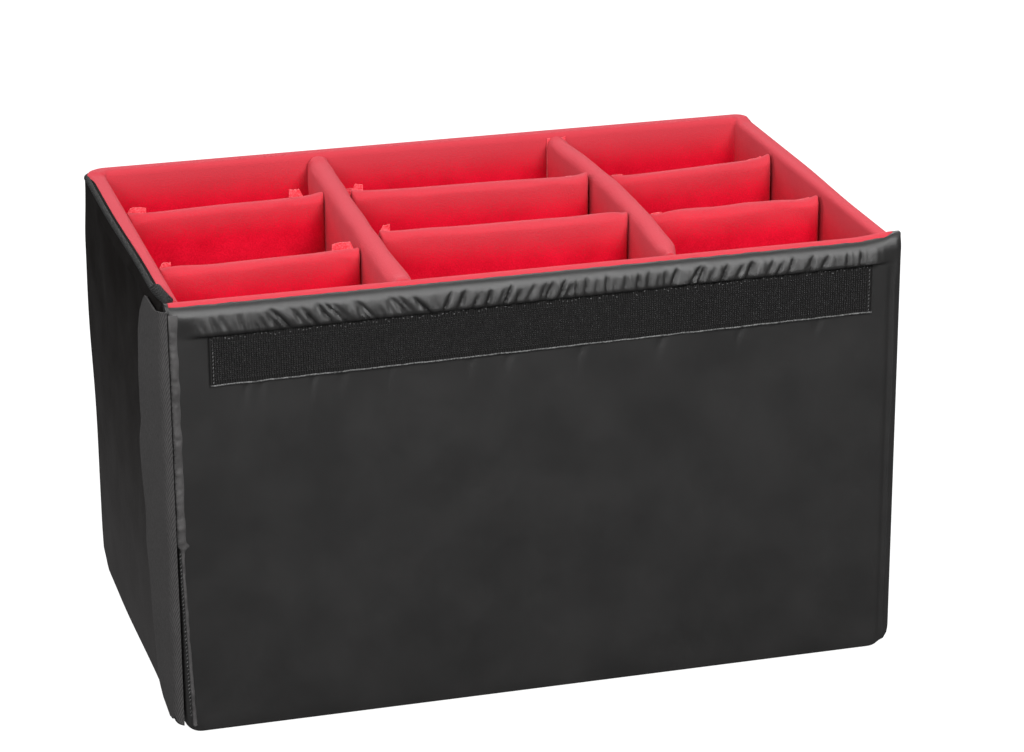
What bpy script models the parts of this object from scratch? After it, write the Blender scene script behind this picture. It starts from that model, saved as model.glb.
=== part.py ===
"""Case divider set: an open, padded box of four walls and a base, lined in loop cloth, with eight padded
dividers that hook into it and make nine compartments. The front wall swings open on the right-hand corner
once the closure flap is peeled off the left wall. Metres, +Z up, front at -Y, origin under the middle.
"""

import math
from collections import namedtuple

import bmesh
import bpy
from mathutils import Matrix, Vector

# The whole set, outside
WRAP_LENGTH = 0.550
WRAP_DEPTH = 0.348
WRAP_HEIGHT = 0.325

# Padded panels: a foam board in a nylon cover, with a loop lining on the inner side
PANEL_THICKNESS = 0.0135
BASE_THICKNESS = 0.0135
NYLON_THICKNESS = 0.0010
LINING_THICKNESS = 0.0020
CLEARANCE = 0.0003
CUT_OVERRUN = 0.0100
LINING_SEAM_INSET = 0.0030
PANEL_CORNER_RADIUS = 0.0200
OUTER_EDGE_RADIUS = 0.0050
BACK_EDGE_RADIUS = 0.0085
INNER_EDGE_RADIUS = 0.0040
BASE_CORNER_RADIUS = 0.0030
CORNER_STEPS = 5
EDGE_STEPS = 3

# The soft roll of cover above the front hook strip, and the slighter one on the back and right walls
FRONT_ROLL_CROWN = 0.0040
FRONT_ROLL_HEIGHT = 0.0245
SIDE_ROLL_CROWN = 0.0012
SIDE_ROLL_HEIGHT = 0.0160
ROLL_STEPS = 5
ROLL_END_FLAT = 0.0160
ROLL_END_TAPER = 0.0240
ROLL_TAPER_STEPS = 3

# Hook tape and the closure on the front left corner
TAPE_THICKNESS = 0.0014
TAPE_EDGE_RADIUS = 0.0004
FLAP_THICKNESS = 0.0020
FRONT_STRIP_HEIGHT = 0.0340
FRONT_STRIP_HEM_GAP = 0.0190
FRONT_STRIP_END_MARGIN = 0.0210
FLAP_REACH = 0.0990
FLAP_TOP_DROP = 0.0080
FLAP_FOOT_RISE = 0.0030
FLAP_CORNER_DROP = 0.1190
FLAP_CORNER_RISE = 0.1900
CLOSURE_TAPE_WIDTH = 0.0500
CLOSURE_TAPE_TOP_MARGIN = 0.0500
CLOSURE_TAPE_FOOT_MARGIN = 0.0600
CLOSURE_TAPE_FLAP_MARGIN = 0.0200
HEM_WIDTH = 0.0080
HEM_TOP_DROP = 0.0060
BINDING_END_LENGTH = 0.0400
BINDING_END_HEIGHT = 0.0090

# The seam that the front wall swings on
HINGE_SEAM_RADIUS = 0.0016
HINGE_SEAM_STANDOFF = 0.0020
HINGE_SEAM_END_MARGIN = 0.0220
HINGE_SEAM_SIDES = 10

# Dividers
LONG_DIVIDER_THICKNESS = 0.0165
SHORT_DIVIDER_THICKNESS = 0.0135
DIVIDER_END_GAP = 0.0024
PINCH_LENGTH = 0.0140
TOP_ROUND_HEIGHT = 0.0065
SHORT_TOP_DROP = 0.0070
SHORT_TOP_SLOPE = 0.0031
HEM_SLOT_MARGIN = 0.0030
SHORT_BOW = 0.0025
LONG_BOW = 0.0078
CONCAVE_SIDE_ROOM = 0.0004

# Hook tabs: one leg is sewn along the divider, the other presses on its neighbour
TAB_SEWN_LENGTH = 0.0180
TAB_HOOK_LENGTH = 0.0200
TAB_FOOT_MARGIN = 0.0150
TAB_RAISE = 0.0010
TAB_HOOK_DROP = 0.0110
LONG_TAB_DROP = 0.0020

# The corner of some divider covers that stands up where the cloth is longer than the foam
EAR_HEIGHT = 0.0040
EAR_LENGTH = 0.0180

# Places of the dividers. They are hooked in by hand, so none stands quite square. A long divider's rear and
# front ends are shares of the inside length, a short one's left and right ends of the inside depth.
LONG_DIVIDER_SHARES = {"left": (0.3263, 0.3112), "right": (0.7049, 0.7006)}
SHORT_DIVIDER_SHARES = {
    "left": {"front": (0.296, 0.317), "rear": (0.732, 0.758)},
    "middle": {"front": (0.401, 0.347), "rear": (0.734, 0.664)},
    "right": {"front": (0.379, 0.367), "rear": (0.691, 0.715)},
}

# How far each long divider bends towards the left half way along
LONG_BOW_SHARES = {"left": 0.25, "right": -1.0}

# How far each column's tabs stand up at its dividers' left and right ends
TAB_RAISE_SHARES = {"left": (1.0, 1.0), "middle": (1.0, 0.0), "right": (0.6, 0.0)}

# For each short divider, front one first: how far it stands below the walls' tops, how much higher its right
# end is than its left one, how far its ear rises and how far it bends towards the front
TOP_DROP_SHARES = {"left": (1.0, 1.0), "middle": (0.40, 0.40), "right": (1.07, 0.80)}
TOP_SLOPE_SHARES = {"left": (0.0, 0.0), "middle": (1.0, 1.0), "right": (0.75, 0.70)}
EAR_SHARES = {"left": (0.0, 0.0), "middle": (0.0, 0.25), "right": (1.0, 1.0)}
BOW_SHARES = {"left": (1.0, 1.0), "middle": (1.0, 1.0), "right": (-1.0, 1.6)}

# Half thickness of a divider along its length, and the rings that round its top
PINCH_PROFILE_SHARES = ((0.0, 0.62), (0.12, 0.80), (0.45, 0.92), (1.0, 1.0))
BLUNT_PROFILE_SHARES = ((0.0, 0.90), (0.12, 1.0), (0.45, 1.0), (1.0, 1.0))
LONG_END_SHARES = {"left": BLUNT_PROFILE_SHARES, "right": PINCH_PROFILE_SHARES}
ROOM_PROFILE_SHARES = ((0.0, 1.0), (0.12, 1.0), (0.45, 1.0), (1.0, 1.0))
TOP_RING_SHARES = ((0.0, 0.34), (0.14, 0.70), (0.46, 0.92), (1.0, 1.0))
BOW_STATIONS = 7

# What the pieces of one divider are shaped from
Form = namedtuple("Form", "length thickness bow top end_shares ear slope")

# The flap's outline: place along its reach, and how much of its corner drop and corner rise it has there
FLAP_OUTLINE_SHARES = (
    (0.0, 0.0, 0.080),
    (0.04, 0.0, 0.040),
    (0.10, 0.0, 0.012),
    (0.18, 0.0, 0.0),
    (0.32, 0.0, 0.0),
    (0.50, 0.05, 0.02),
    (0.66, 0.11, 0.08),
    (0.78, 0.19, 0.23),
    (0.86, 0.28, 0.45),
    (0.92, 0.44, 0.66),
    (0.97, 0.68, 0.82),
    (1.0, 0.95, 0.97),
)

# What follows from the sizes above
FACE_INSET = FLAP_THICKNESS + TAPE_THICKNESS + 2 * CLEARANCE
LEFT_FACE = FACE_INSET - WRAP_LENGTH / 2
RIGHT_FACE = WRAP_LENGTH / 2 - FACE_INSET
FRONT_FACE = FRONT_ROLL_CROWN - WRAP_DEPTH / 2
BACK_FACE = WRAP_DEPTH / 2 - FACE_INSET
INSIDE_LEFT = LEFT_FACE + PANEL_THICKNESS
INSIDE_RIGHT = RIGHT_FACE - PANEL_THICKNESS
INSIDE_FRONT = FRONT_FACE + PANEL_THICKNESS
INSIDE_BACK = BACK_FACE - PANEL_THICKNESS
FRONT_WALL_LEFT_END = FLAP_THICKNESS + CLEARANCE - WRAP_LENGTH / 2
HEM_LEFT = FRONT_WALL_LEFT_END + OUTER_EDGE_RADIUS
FRONT_STRIP_LEFT = HEM_LEFT + HEM_WIDTH + FRONT_STRIP_HEM_GAP
FRONT_STRIP_RIGHT = RIGHT_FACE - FRONT_STRIP_END_MARGIN
FRONT_STRIP_TOP = WRAP_HEIGHT - FRONT_ROLL_HEIGHT
HINGE_PLACE = Vector((RIGHT_FACE + HINGE_SEAM_STANDOFF, INSIDE_FRONT + CLEARANCE / 2, 0))
FLAP_PLACE = Vector((FLAP_THICKNESS / 2 - WRAP_LENGTH / 2, FRONT_FACE, 0))

FINISHES = {
    "nylon_cover": ((0.020, 0.019, 0.019), 0.50),
    "red_loop_lining": ((0.760, 0.005, 0.030), 0.95),
    "foam_board": ((0.160, 0.160, 0.165), 0.90),
    "hook_tape": ((0.012, 0.012, 0.012), 0.70),
    "red_hook_tab": ((0.700, 0.045, 0.075), 0.85),
    "grey_loop_flap": ((0.070, 0.068, 0.067), 0.92),
    "grey_hem": ((0.110, 0.107, 0.107), 0.60),
}


def clear_scene():
    for old in list(bpy.data.objects):
        bpy.data.objects.remove(old)


def finish(name):
    """The Principled material of this name, made the first time it is asked for."""
    found = bpy.data.materials.get(name)
    if found:
        return found
    colour, roughness = FINISHES[name]
    made = bpy.data.materials.new(name)
    made.use_nodes = True
    shader = made.node_tree.nodes["Principled BSDF"]
    shader.inputs["Base Color"].default_value = (*colour, 1)
    shader.inputs["Roughness"].default_value = roughness
    shader.inputs["Metallic"].default_value = 0
    made.diffuse_color = (*colour, 1)
    return made


def carrier(name, place):
    """An empty that a moving piece hangs on, at its joint."""
    empty = bpy.data.objects.new(name, None)
    empty.location = place
    bpy.context.collection.objects.link(empty)
    return empty


def add_piece(name, bm, material, held_by=None):
    """Turns a bmesh in world coordinates into a named object, seated on its carrier."""
    bmesh.ops.recalc_face_normals(bm, faces=bm.faces)
    mesh = bpy.data.meshes.new(name)
    bm.to_mesh(mesh)
    bm.free()
    piece = bpy.data.objects.new(name, mesh)
    bpy.context.collection.objects.link(piece)
    if material:
        mesh.materials.append(finish(material))
    if held_by:
        mesh.transform(Matrix.Translation(-held_by.location))
        piece.parent = held_by
    mesh.shade_smooth()
    mesh.set_sharp_from_angle(angle=math.radians(50))
    return piece


def cut(piece, cutters):
    """Takes each cutter away from the piece. A cutter stays in the scene as a hidden helper."""
    for cutter in cutters:
        cutter.hide_render = True
        cutter.display_type = "WIRE"
        modifier = piece.modifiers.new(cutter.name, "BOOLEAN")
        modifier.operation = "DIFFERENCE"
        modifier.solver = "EXACT"
        modifier.object = cutter


def box(low, high):
    """A bmesh box between two corners."""
    bm = bmesh.new()
    low, high = Vector(low), Vector(high)
    size = Matrix.Diagonal((*(high - low), 1))
    bmesh.ops.create_cube(bm, size=1, matrix=Matrix.Translation((low + high) / 2) @ size)
    return bm


def bevel_where(bm, test, radius, steps):
    """Rounds each edge whose two ends pass the test."""
    edges = [edge for edge in bm.edges if all(test(vert.co) for vert in edge.verts)]
    bmesh.ops.bevel(bm, geom=edges, offset=radius, segments=steps, profile=0.5, affect="EDGES")


def lay_edges(bm, axis, places):
    """Lays a loop of edges round the mesh, square to the axis, at each place where it will be shaped."""
    for place in places:
        everything = bm.verts[:] + bm.edges[:] + bm.faces[:]
        bmesh.ops.bisect_plane(bm, geom=everything, plane_co=Vector(axis) * place, plane_no=axis)


def near(value, place):
    return abs(value - place) < CLEARANCE / 2


def round_panel(low, high, outer_radius, corner_radius, inner_radius=0):
    """A panel whose outer face is at low y. Its lower corners are round, and so are its face edges."""
    bm = box(low, high)
    if corner_radius:
        for end in (low[0], high[0]):
            bevel_where(
                bm,
                lambda co, end=end: near(co.x, end) and near(co.z, low[2]),
                corner_radius,
                CORNER_STEPS,
            )
    if outer_radius:
        bevel_where(bm, lambda co: near(co.y, low[1]), outer_radius, EDGE_STEPS)
    if inner_radius:
        bevel_where(bm, lambda co: near(co.y, high[1]), inner_radius, EDGE_STEPS)
    return bm


def roll_profile(height, roll_height):
    """0 below the roll and at the wall's top, 1 at the roll's fullest height."""
    along = (height - WRAP_HEIGHT + roll_height) / roll_height
    return math.sin(math.pi * along) ** 0.7 if 0 < along < 1 else 0


def roll_taper(from_end):
    """0 at the wall's ends, where the cover is sewn flat, and 1 along the rest of it."""
    along = min(1, max(0, (from_end - ROLL_END_FLAT) / ROLL_END_TAPER))
    return along * along * (3 - 2 * along)


def shape_roll(bm, half, crown, roll_height, edge_radius):
    """Puffs the cover out over the top stretch of a wall's outer face."""
    base = WRAP_HEIGHT - roll_height
    step = (roll_height - edge_radius) / ROLL_STEPS
    lay_edges(bm, (0, 0, 1), [base + step * count for count in range(ROLL_STEPS + 1)])
    for count in range(ROLL_TAPER_STEPS + 1):
        place = half - ROLL_END_FLAT - ROLL_END_TAPER * count / ROLL_TAPER_STEPS
        lay_edges(bm, (1, 0, 0), (-place, place))
    for vert in bm.verts:
        share = max(0, 1 - vert.co.y / edge_radius) * roll_taper(half - abs(vert.co.x))
        vert.co.y -= crown * share * roll_profile(vert.co.z, roll_height)


def wall_pieces(name, place, length, edge_radius, crown, roll_height, held_by=None):
    """A padded wall in its own frame: outer face at y = 0, inwards +y. Returns cover, lining and foam."""
    half = length / 2
    cloth = NYLON_THICKNESS
    inner_edge = PANEL_THICKNESS - LINING_THICKNESS
    under_flange = WRAP_HEIGHT - LINING_THICKNESS

    def placed(bm):
        bmesh.ops.transform(bm, matrix=place, verts=bm.verts)
        return bm

    def cutter(purpose, bm):
        return add_piece(f"{name}_{purpose}_cutter", placed(bm), None, held_by)

    cover_mesh = round_panel(
        (-half, 0, 0), (half, PANEL_THICKNESS, WRAP_HEIGHT), edge_radius, PANEL_CORNER_RADIUS
    )
    if crown:
        shape_roll(cover_mesh, half, crown, roll_height, edge_radius)
    cover = add_piece(f"{name}_cover", placed(cover_mesh), "nylon_cover", held_by)
    room = round_panel(
        (cloth - half, cloth, cloth),
        (half - cloth, PANEL_THICKNESS + CUT_OVERRUN, under_flange),
        edge_radius - cloth,
        PANEL_CORNER_RADIUS - cloth,
    )
    flange_room = box(
        (cloth - half, LINING_SEAM_INSET, under_flange - LINING_THICKNESS),
        (half - cloth, PANEL_THICKNESS + CUT_OVERRUN, WRAP_HEIGHT + CUT_OVERRUN),
    )
    cut(cover, [cutter("room", room), cutter("flange_room", flange_room)])

    inset = cloth + CLEARANCE
    lining_mesh = round_panel(
        (inset - half, LINING_SEAM_INSET + CLEARANCE, inset),
        (half - inset, PANEL_THICKNESS, WRAP_HEIGHT),
        0,
        PANEL_CORNER_RADIUS - inset,
        INNER_EDGE_RADIUS,
    )
    lining = add_piece(f"{name}_lining", placed(lining_mesh), "red_loop_lining", held_by)
    core_room = box(
        (-half - CUT_OVERRUN, -CUT_OVERRUN, -CUT_OVERRUN),
        (half + CUT_OVERRUN, inner_edge, under_flange),
    )
    cut(lining, [cutter("core_room", core_room)])

    foam_mesh = round_panel(
        (inset - half, inset, inset),
        (half - inset, inner_edge - CLEARANCE, under_flange - CLEARANCE),
        edge_radius - cloth,
        PANEL_CORNER_RADIUS - inset,
    )
    foam = add_piece(f"{name}_foam", placed(foam_mesh), "foam_board", held_by)
    return cover, lining, foam


def facing(x, y, quarter_turns):
    """Where a wall's outer face centre goes, and how many quarter turns it makes from facing the front."""
    turn = Matrix.Rotation(quarter_turns * math.pi / 2, 4, "Z")
    return Matrix.Translation((x, y, 0)) @ turn


def make_walls(front_carrier):
    front_length = RIGHT_FACE - FRONT_WALL_LEFT_END
    front_middle = (RIGHT_FACE + FRONT_WALL_LEFT_END) / 2
    wall_pieces(
        "front_wall",
        facing(front_middle, FRONT_FACE, 0),
        front_length,
        OUTER_EDGE_RADIUS,
        FRONT_ROLL_CROWN,
        FRONT_ROLL_HEIGHT,
        front_carrier,
    )
    wall_pieces(
        "back_wall",
        facing((LEFT_FACE + RIGHT_FACE) / 2, BACK_FACE, 2),
        RIGHT_FACE - LEFT_FACE,
        BACK_EDGE_RADIUS,
        SIDE_ROLL_CROWN,
        SIDE_ROLL_HEIGHT,
    )
    side_length = INSIDE_BACK - INSIDE_FRONT - 2 * CLEARANCE
    side_middle = (INSIDE_BACK + INSIDE_FRONT) / 2
    sides = (("left_wall", LEFT_FACE, -1, 0), ("right_wall", RIGHT_FACE, 1, SIDE_ROLL_CROWN))
    for name, face, turns, crown in sides:
        wall_pieces(
            name,
            facing(face, side_middle, turns),
            side_length,
            OUTER_EDGE_RADIUS,
            crown,
            SIDE_ROLL_HEIGHT,
        )


def make_base():
    """The padded floor: a nylon tray under a foam board, with a loop lining let in on top."""

    def layer(inset, bottom, top, radius):
        low = Vector((INSIDE_LEFT + CLEARANCE + inset, INSIDE_FRONT + CLEARANCE + inset, bottom))
        high = Vector((INSIDE_RIGHT - CLEARANCE - inset, INSIDE_BACK - CLEARANCE - inset, top))
        bm = box(low, high)
        upright = [edge for edge in bm.edges if near(edge.verts[0].co.z + edge.verts[1].co.z, bottom + top)]
        bmesh.ops.bevel(
            bm, geom=upright, offset=radius, segments=EDGE_STEPS, profile=0.5, affect="EDGES"
        )
        return bm

    cloth = NYLON_THICKNESS
    inset = cloth + CLEARANCE
    lining_bottom = BASE_THICKNESS - LINING_THICKNESS
    cover = add_piece("base_cover", layer(0, 0, BASE_THICKNESS, BASE_CORNER_RADIUS), "nylon_cover")
    room = layer(cloth, cloth, BASE_THICKNESS + CUT_OVERRUN, BASE_CORNER_RADIUS - cloth)
    cut(cover, [add_piece("base_room_cutter", room, None)])
    foam_top = lining_bottom - CLEARANCE
    add_piece("base_foam", layer(inset, inset, foam_top, BASE_CORNER_RADIUS - cloth), "foam_board")
    lining = layer(inset, lining_bottom, BASE_THICKNESS, BASE_CORNER_RADIUS - cloth)
    add_piece("base_lining", lining, "red_loop_lining")


def tape(name, low, high, material="hook_tape", held_by=None):
    """A flat strip of sewn tape with softened edges."""
    bm = box(low, high)
    bmesh.ops.bevel(
        bm, geom=bm.edges[:], offset=TAPE_EDGE_RADIUS, segments=1, profile=0.5, affect="EDGES"
    )
    return add_piece(name, bm, material, held_by)


def ribbon(stations):
    """A strip swept in plan: each station is (left edge point, right edge point, bottom, top)."""
    bm = bmesh.new()
    rings = []
    for left, right, bottom, top in stations:
        corners = ((left, bottom), (right, bottom), (right, top), (left, top))
        rings.append([bm.verts.new((point[0], point[1], height)) for point, height in corners])
    for first, second in zip(rings, rings[1:]):
        for side in range(4):
            after = (side + 1) % 4
            bm.faces.new((first[side], first[after], second[after], second[side]))
    bm.faces.new(rings[0][::-1])
    bm.faces.new(rings[-1])
    return bm


def make_front_fittings(front_carrier):
    """What is sewn to the front wall's face: the long hook strip and the hem the flap hangs from."""
    back = FRONT_FACE - CLEARANCE
    front = back - TAPE_THICKNESS
    tape(
        "front_hook_strip",
        (FRONT_STRIP_LEFT, front, FRONT_STRIP_TOP - FRONT_STRIP_HEIGHT),
        (FRONT_STRIP_RIGHT, back, FRONT_STRIP_TOP),
        held_by=front_carrier,
    )
    tape(
        "front_wall_hem",
        (HEM_LEFT, front, PANEL_CORNER_RADIUS),
        (HEM_LEFT + HEM_WIDTH, back, WRAP_HEIGHT - HEM_TOP_DROP),
        "grey_hem",
        front_carrier,
    )


def make_closure(flap_carrier):
    """The loop flap that wraps the corner, and the hook tape on the left wall that it presses on."""
    top = WRAP_HEIGHT - FLAP_TOP_DROP
    stations = []
    for along, drop, rise in FLAP_OUTLINE_SHARES:
        y = FRONT_FACE + FLAP_REACH * along
        outer = (-WRAP_LENGTH / 2, y)
        inner = (FLAP_THICKNESS - WRAP_LENGTH / 2, y)
        foot = FLAP_FOOT_RISE + FLAP_CORNER_RISE * rise
        stations.append((outer, inner, foot, top - FLAP_CORNER_DROP * drop))
    add_piece("closure_flap", ribbon(stations), "grey_loop_flap", flap_carrier)
    tape_back = LEFT_FACE - CLEARANCE
    tape_end = FRONT_FACE + FLAP_REACH - CLOSURE_TAPE_FLAP_MARGIN
    tape(
        "closure_hook_tape",
        (tape_back - TAPE_THICKNESS, tape_end - CLOSURE_TAPE_WIDTH, CLOSURE_TAPE_FOOT_MARGIN),
        (tape_back, tape_end, WRAP_HEIGHT - CLOSURE_TAPE_TOP_MARGIN),
    )
    binding_start = INSIDE_FRONT + OUTER_EDGE_RADIUS
    binding_top = WRAP_HEIGHT - OUTER_EDGE_RADIUS
    tape(
        "left_binding_end",
        (tape_back - TAPE_THICKNESS, binding_start, binding_top - BINDING_END_HEIGHT),
        (tape_back, binding_start + BINDING_END_LENGTH, binding_top),
        "nylon_cover",
    )


def make_hinge_seam():
    """The upright seam between the front and right covers, on the axis the front wall swings on."""
    height = WRAP_HEIGHT - 2 * HINGE_SEAM_END_MARGIN
    bm = bmesh.new()
    bmesh.ops.create_cone(
        bm,
        cap_ends=True,
        segments=HINGE_SEAM_SIDES,
        radius1=HINGE_SEAM_RADIUS,
        radius2=HINGE_SEAM_RADIUS,
        depth=height,
        matrix=Matrix.Translation(HINGE_PLACE + Vector((0, 0, WRAP_HEIGHT / 2))),
    )
    add_piece("hinge_seam", bm, "nylon_cover")


def bow_at(x, length, bow):
    """How far a divider bends off its straight line. Positive bow bends it towards the front."""
    return -bow * (1 - (2 * x / length) ** 2)


def side_profile(length, thickness, end_length, end_shares):
    """Stations (x, half thickness) from one end to the other. end_shares thins it over each end_length."""
    half = length / 2
    ends = [(half - end_length * along, thickness / 2 * share) for along, share in end_shares]
    span = 2 * (half - end_length)
    inner = [
        (span / 2 - span * count / (BOW_STATIONS - 1), thickness / 2)
        for count in range(1, BOW_STATIONS - 1)
    ]
    return ends + inner + [(-x, half_thick) for x, half_thick in reversed(ends)]


def plan_outline(profile, length, bow, share=1.0, drawn_in=0.0):
    """A closed outline in plan, anticlockwise. share thins it, drawn_in shortens it at each end."""
    scale = (length / 2 - drawn_in) / (length / 2)
    far = [(x * scale, bow_at(x * scale, length, bow) + half * share) for x, half in profile]
    near_side = [(x * scale, bow_at(x * scale, length, bow) - half * share) for x, half in reversed(profile)]
    return far + near_side


def skin_rings(rings):
    """Joins closed rings of equal count into one skin, with a cap on the first and on the last."""
    bm = bmesh.new()
    rows = [[bm.verts.new(point) for point in ring] for ring in rings]
    count = len(rows[0])
    for upper, lower in zip(rows, rows[1:]):
        for index in range(count):
            after = (index + 1) % count
            bm.faces.new((upper[index], lower[index], lower[after], upper[after]))
    for row in (rows[0], rows[-1][::-1]):
        # The outline is a row of facing pairs, so the cap is a row of quads between them.
        for index in range(count // 2 - 1):
            bm.faces.new((row[index], row[index + 1], row[count - 2 - index], row[count - 1 - index]))
    return bm


def ear_at(x, form):
    """How far the cover's top stands up near its right-hand end."""
    along = max(0, (x - form.length / 2 + EAR_LENGTH) / EAR_LENGTH)
    return form.ear * along * along


def slope_at(x, form):
    """How far the divider's top has risen or fallen here from its height half way along."""
    return form.slope * x / form.length


def sleeve(form, bottom):
    """A divider's cover: closed on top and at the ends, open underneath where the foam goes in."""
    length, thickness, bow, top = form.length, form.thickness, form.bow, form.top
    profile = side_profile(length, thickness, PINCH_LENGTH, form.end_shares)
    rings = []
    for down, share in TOP_RING_SHARES:
        drawn_in = thickness / 2 * (1 - share) * (1 - down)
        outline = plan_outline(profile, length, bow, share, drawn_in)
        height = top - TOP_ROUND_HEIGHT * down
        rings.append([(x, y, height + slope_at(x, form) + ear_at(x, form) * (1 - down)) for x, y in outline])
    rings.append([(x, y, bottom) for x, y in plan_outline(profile, length, bow)])
    room_length = length - 2 * (PINCH_LENGTH - CLEARANCE)
    room_thickness = thickness - 2 * LINING_THICKNESS
    room = side_profile(room_length, room_thickness, HEM_SLOT_MARGIN, ROOM_PROFILE_SHARES)
    inside = plan_outline(room, length, bow)
    rings.append([(x, y, bottom) for x, y in inside])
    rings.append([(x, y, top + slope_at(x, form) - TOP_ROUND_HEIGHT) for x, y in inside])
    return skin_rings(rings)


def divider_core(form, bottom):
    """The foam board inside a divider's cover, bent as the cover is."""
    half = form.length / 2 - PINCH_LENGTH
    half_thick = form.thickness / 2 - LINING_THICKNESS - CLEARANCE
    stations = []
    for count in range(BOW_STATIONS):
        x = half - 2 * half * count / (BOW_STATIONS - 1)
        middle = bow_at(x, form.length, form.bow)
        edges = ((x, middle - half_thick), (x, middle + half_thick))
        top = form.top + slope_at(x, form) - TOP_ROUND_HEIGHT - CLEARANCE
        stations.append((*edges, bottom + HEM_SLOT_MARGIN, top))
    return ribbon(stations)


def hook_tab(form, end, face_run, raise_by):
    """A tab at one end of a divider (end is -1 or 1): sewn along its far side, then bent onto the neighbour.

    face_run is the direction of the neighbour's face in the divider's own frame, towards the far side.
    """
    length, thickness, bow = form.length, form.thickness, form.bow
    outer = []
    for x, half_thick in side_profile(length, thickness, PINCH_LENGTH, form.end_shares):
        if end * x >= length / 2 - TAB_SEWN_LENGTH:
            outer.append((x, bow_at(x, length, bow) + half_thick + CLEARANCE))
    if end == 1:
        outer.reverse()
    sewn_start = end * (length / 2 - TAB_SEWN_LENGTH)
    outer.insert(0, (sewn_start, bow_at(sewn_start, length, bow) + thickness / 2 + CLEARANCE))
    bottom = BASE_THICKNESS + TAB_FOOT_MARGIN
    top = form.top + slope_at(end * length / 2, form)
    stations = []
    for x, y in outer:
        stations.append(((x, y), (x, y + TAPE_THICKNESS), bottom, top + raise_by))
    turn_y = outer[-1][1]
    inwards = Vector((-end * face_run.y, end * face_run.x))
    touching = Vector((end * (length / 2 + DIVIDER_END_GAP), 0)) + inwards * CLEARANCE

    def on_line(offset, height):
        """The point at this height in plan on the line that lies offset from where the tab touches."""
        base = touching + inwards * offset
        return base + face_run * (height - base.y) / face_run.y

    for along in (0, TAB_HOOK_LENGTH / 2, TAB_HOOK_LENGTH):
        room_height = max(turn_y + along, turn_y + TAPE_THICKNESS)
        wall_side, room_side = on_line(0, turn_y + along), on_line(TAPE_THICKNESS, room_height)
        stations.append((wall_side, room_side, bottom, top - TAB_HOOK_DROP))
    return ribbon(stations)


def make_divider(name, ends, runs, raises, form):
    """A divider between two points in plan. Its length runs from one to the other, its tabs on its left.

    runs are the directions of the faces that it meets at its two ends, and raises how far each tab stands up.
    """
    start, finish_place = Vector(ends[0]), Vector(ends[1])
    along = finish_place - start
    turn = Matrix.Rotation(math.atan2(along.y, along.x), 4, "Z")
    place = Matrix.Translation((start + finish_place) / 2) @ turn
    lift = carrier(f"{name}_lift", place.translation)
    form = form._replace(length=along.length - 2 * DIVIDER_END_GAP)
    bottom = BASE_THICKNESS + CLEARANCE
    pieces = {
        f"{name}_cover": (sleeve(form, bottom), "red_loop_lining"),
        f"{name}_foam": (divider_core(form, bottom), "foam_board"),
    }
    for label, end, run, raise_by in zip(("first", "second"), (-1, 1), runs, raises):
        face_run = (turn.inverted() @ Vector(run)).normalized().to_2d()
        pieces[f"{name}_{label}_tab"] = (hook_tab(form, end, face_run, raise_by), "red_hook_tab")
    for piece_name, (bm, material) in pieces.items():
        bmesh.ops.transform(bm, matrix=place, verts=bm.verts)
        add_piece(piece_name, bm, material, lift)


def side_of_long_divider(column, ends, side, depth_share):
    """A point on one side face of a long divider, and that face's direction towards the back."""
    rear, front = ends
    along = rear - front
    square_to_it = Vector((along.y, -along.x, 0)).normalized()
    length, bow = along.length, LONG_BOW * LONG_BOW_SHARES[column]
    x = length * (0.5 - depth_share)
    hollow = side * bow > 0
    stand_off = LONG_DIVIDER_THICKNESS / 2 + CONCAVE_SIDE_ROOM * hollow
    place = front + along * depth_share + square_to_it * (bow_at(x, length, bow) + side * stand_off)
    return place, along.normalized() - square_to_it * 8 * bow * x / length**2


def wall_place(x, depth_share):
    """A point on a side wall's inner face, and that face's direction towards the back."""
    return Vector((x, INSIDE_FRONT + (INSIDE_BACK - INSIDE_FRONT) * depth_share, 0)), Vector((0, 1, 0))


def make_long_dividers():
    """Stands the two long dividers from the back wall to the front wall. Returns where each one ends."""
    inside_length = INSIDE_RIGHT - INSIDE_LEFT
    across = (1, 0, 0)
    long_ends = {}
    for column, (rear_share, front_share) in LONG_DIVIDER_SHARES.items():
        rear = Vector((INSIDE_LEFT + inside_length * rear_share, INSIDE_BACK, 0))
        front = Vector((INSIDE_LEFT + inside_length * front_share, INSIDE_FRONT, 0))
        long_ends[column] = (rear, front)
        drops = (-LONG_TAB_DROP, -LONG_TAB_DROP)
        bow = LONG_BOW * LONG_BOW_SHARES[column]
        form = Form(0, LONG_DIVIDER_THICKNESS, bow, WRAP_HEIGHT, LONG_END_SHARES[column], 0, 0)
        make_divider(f"{column}_long_divider", (rear, front), (across, across), drops, form)
    return long_ends


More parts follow.
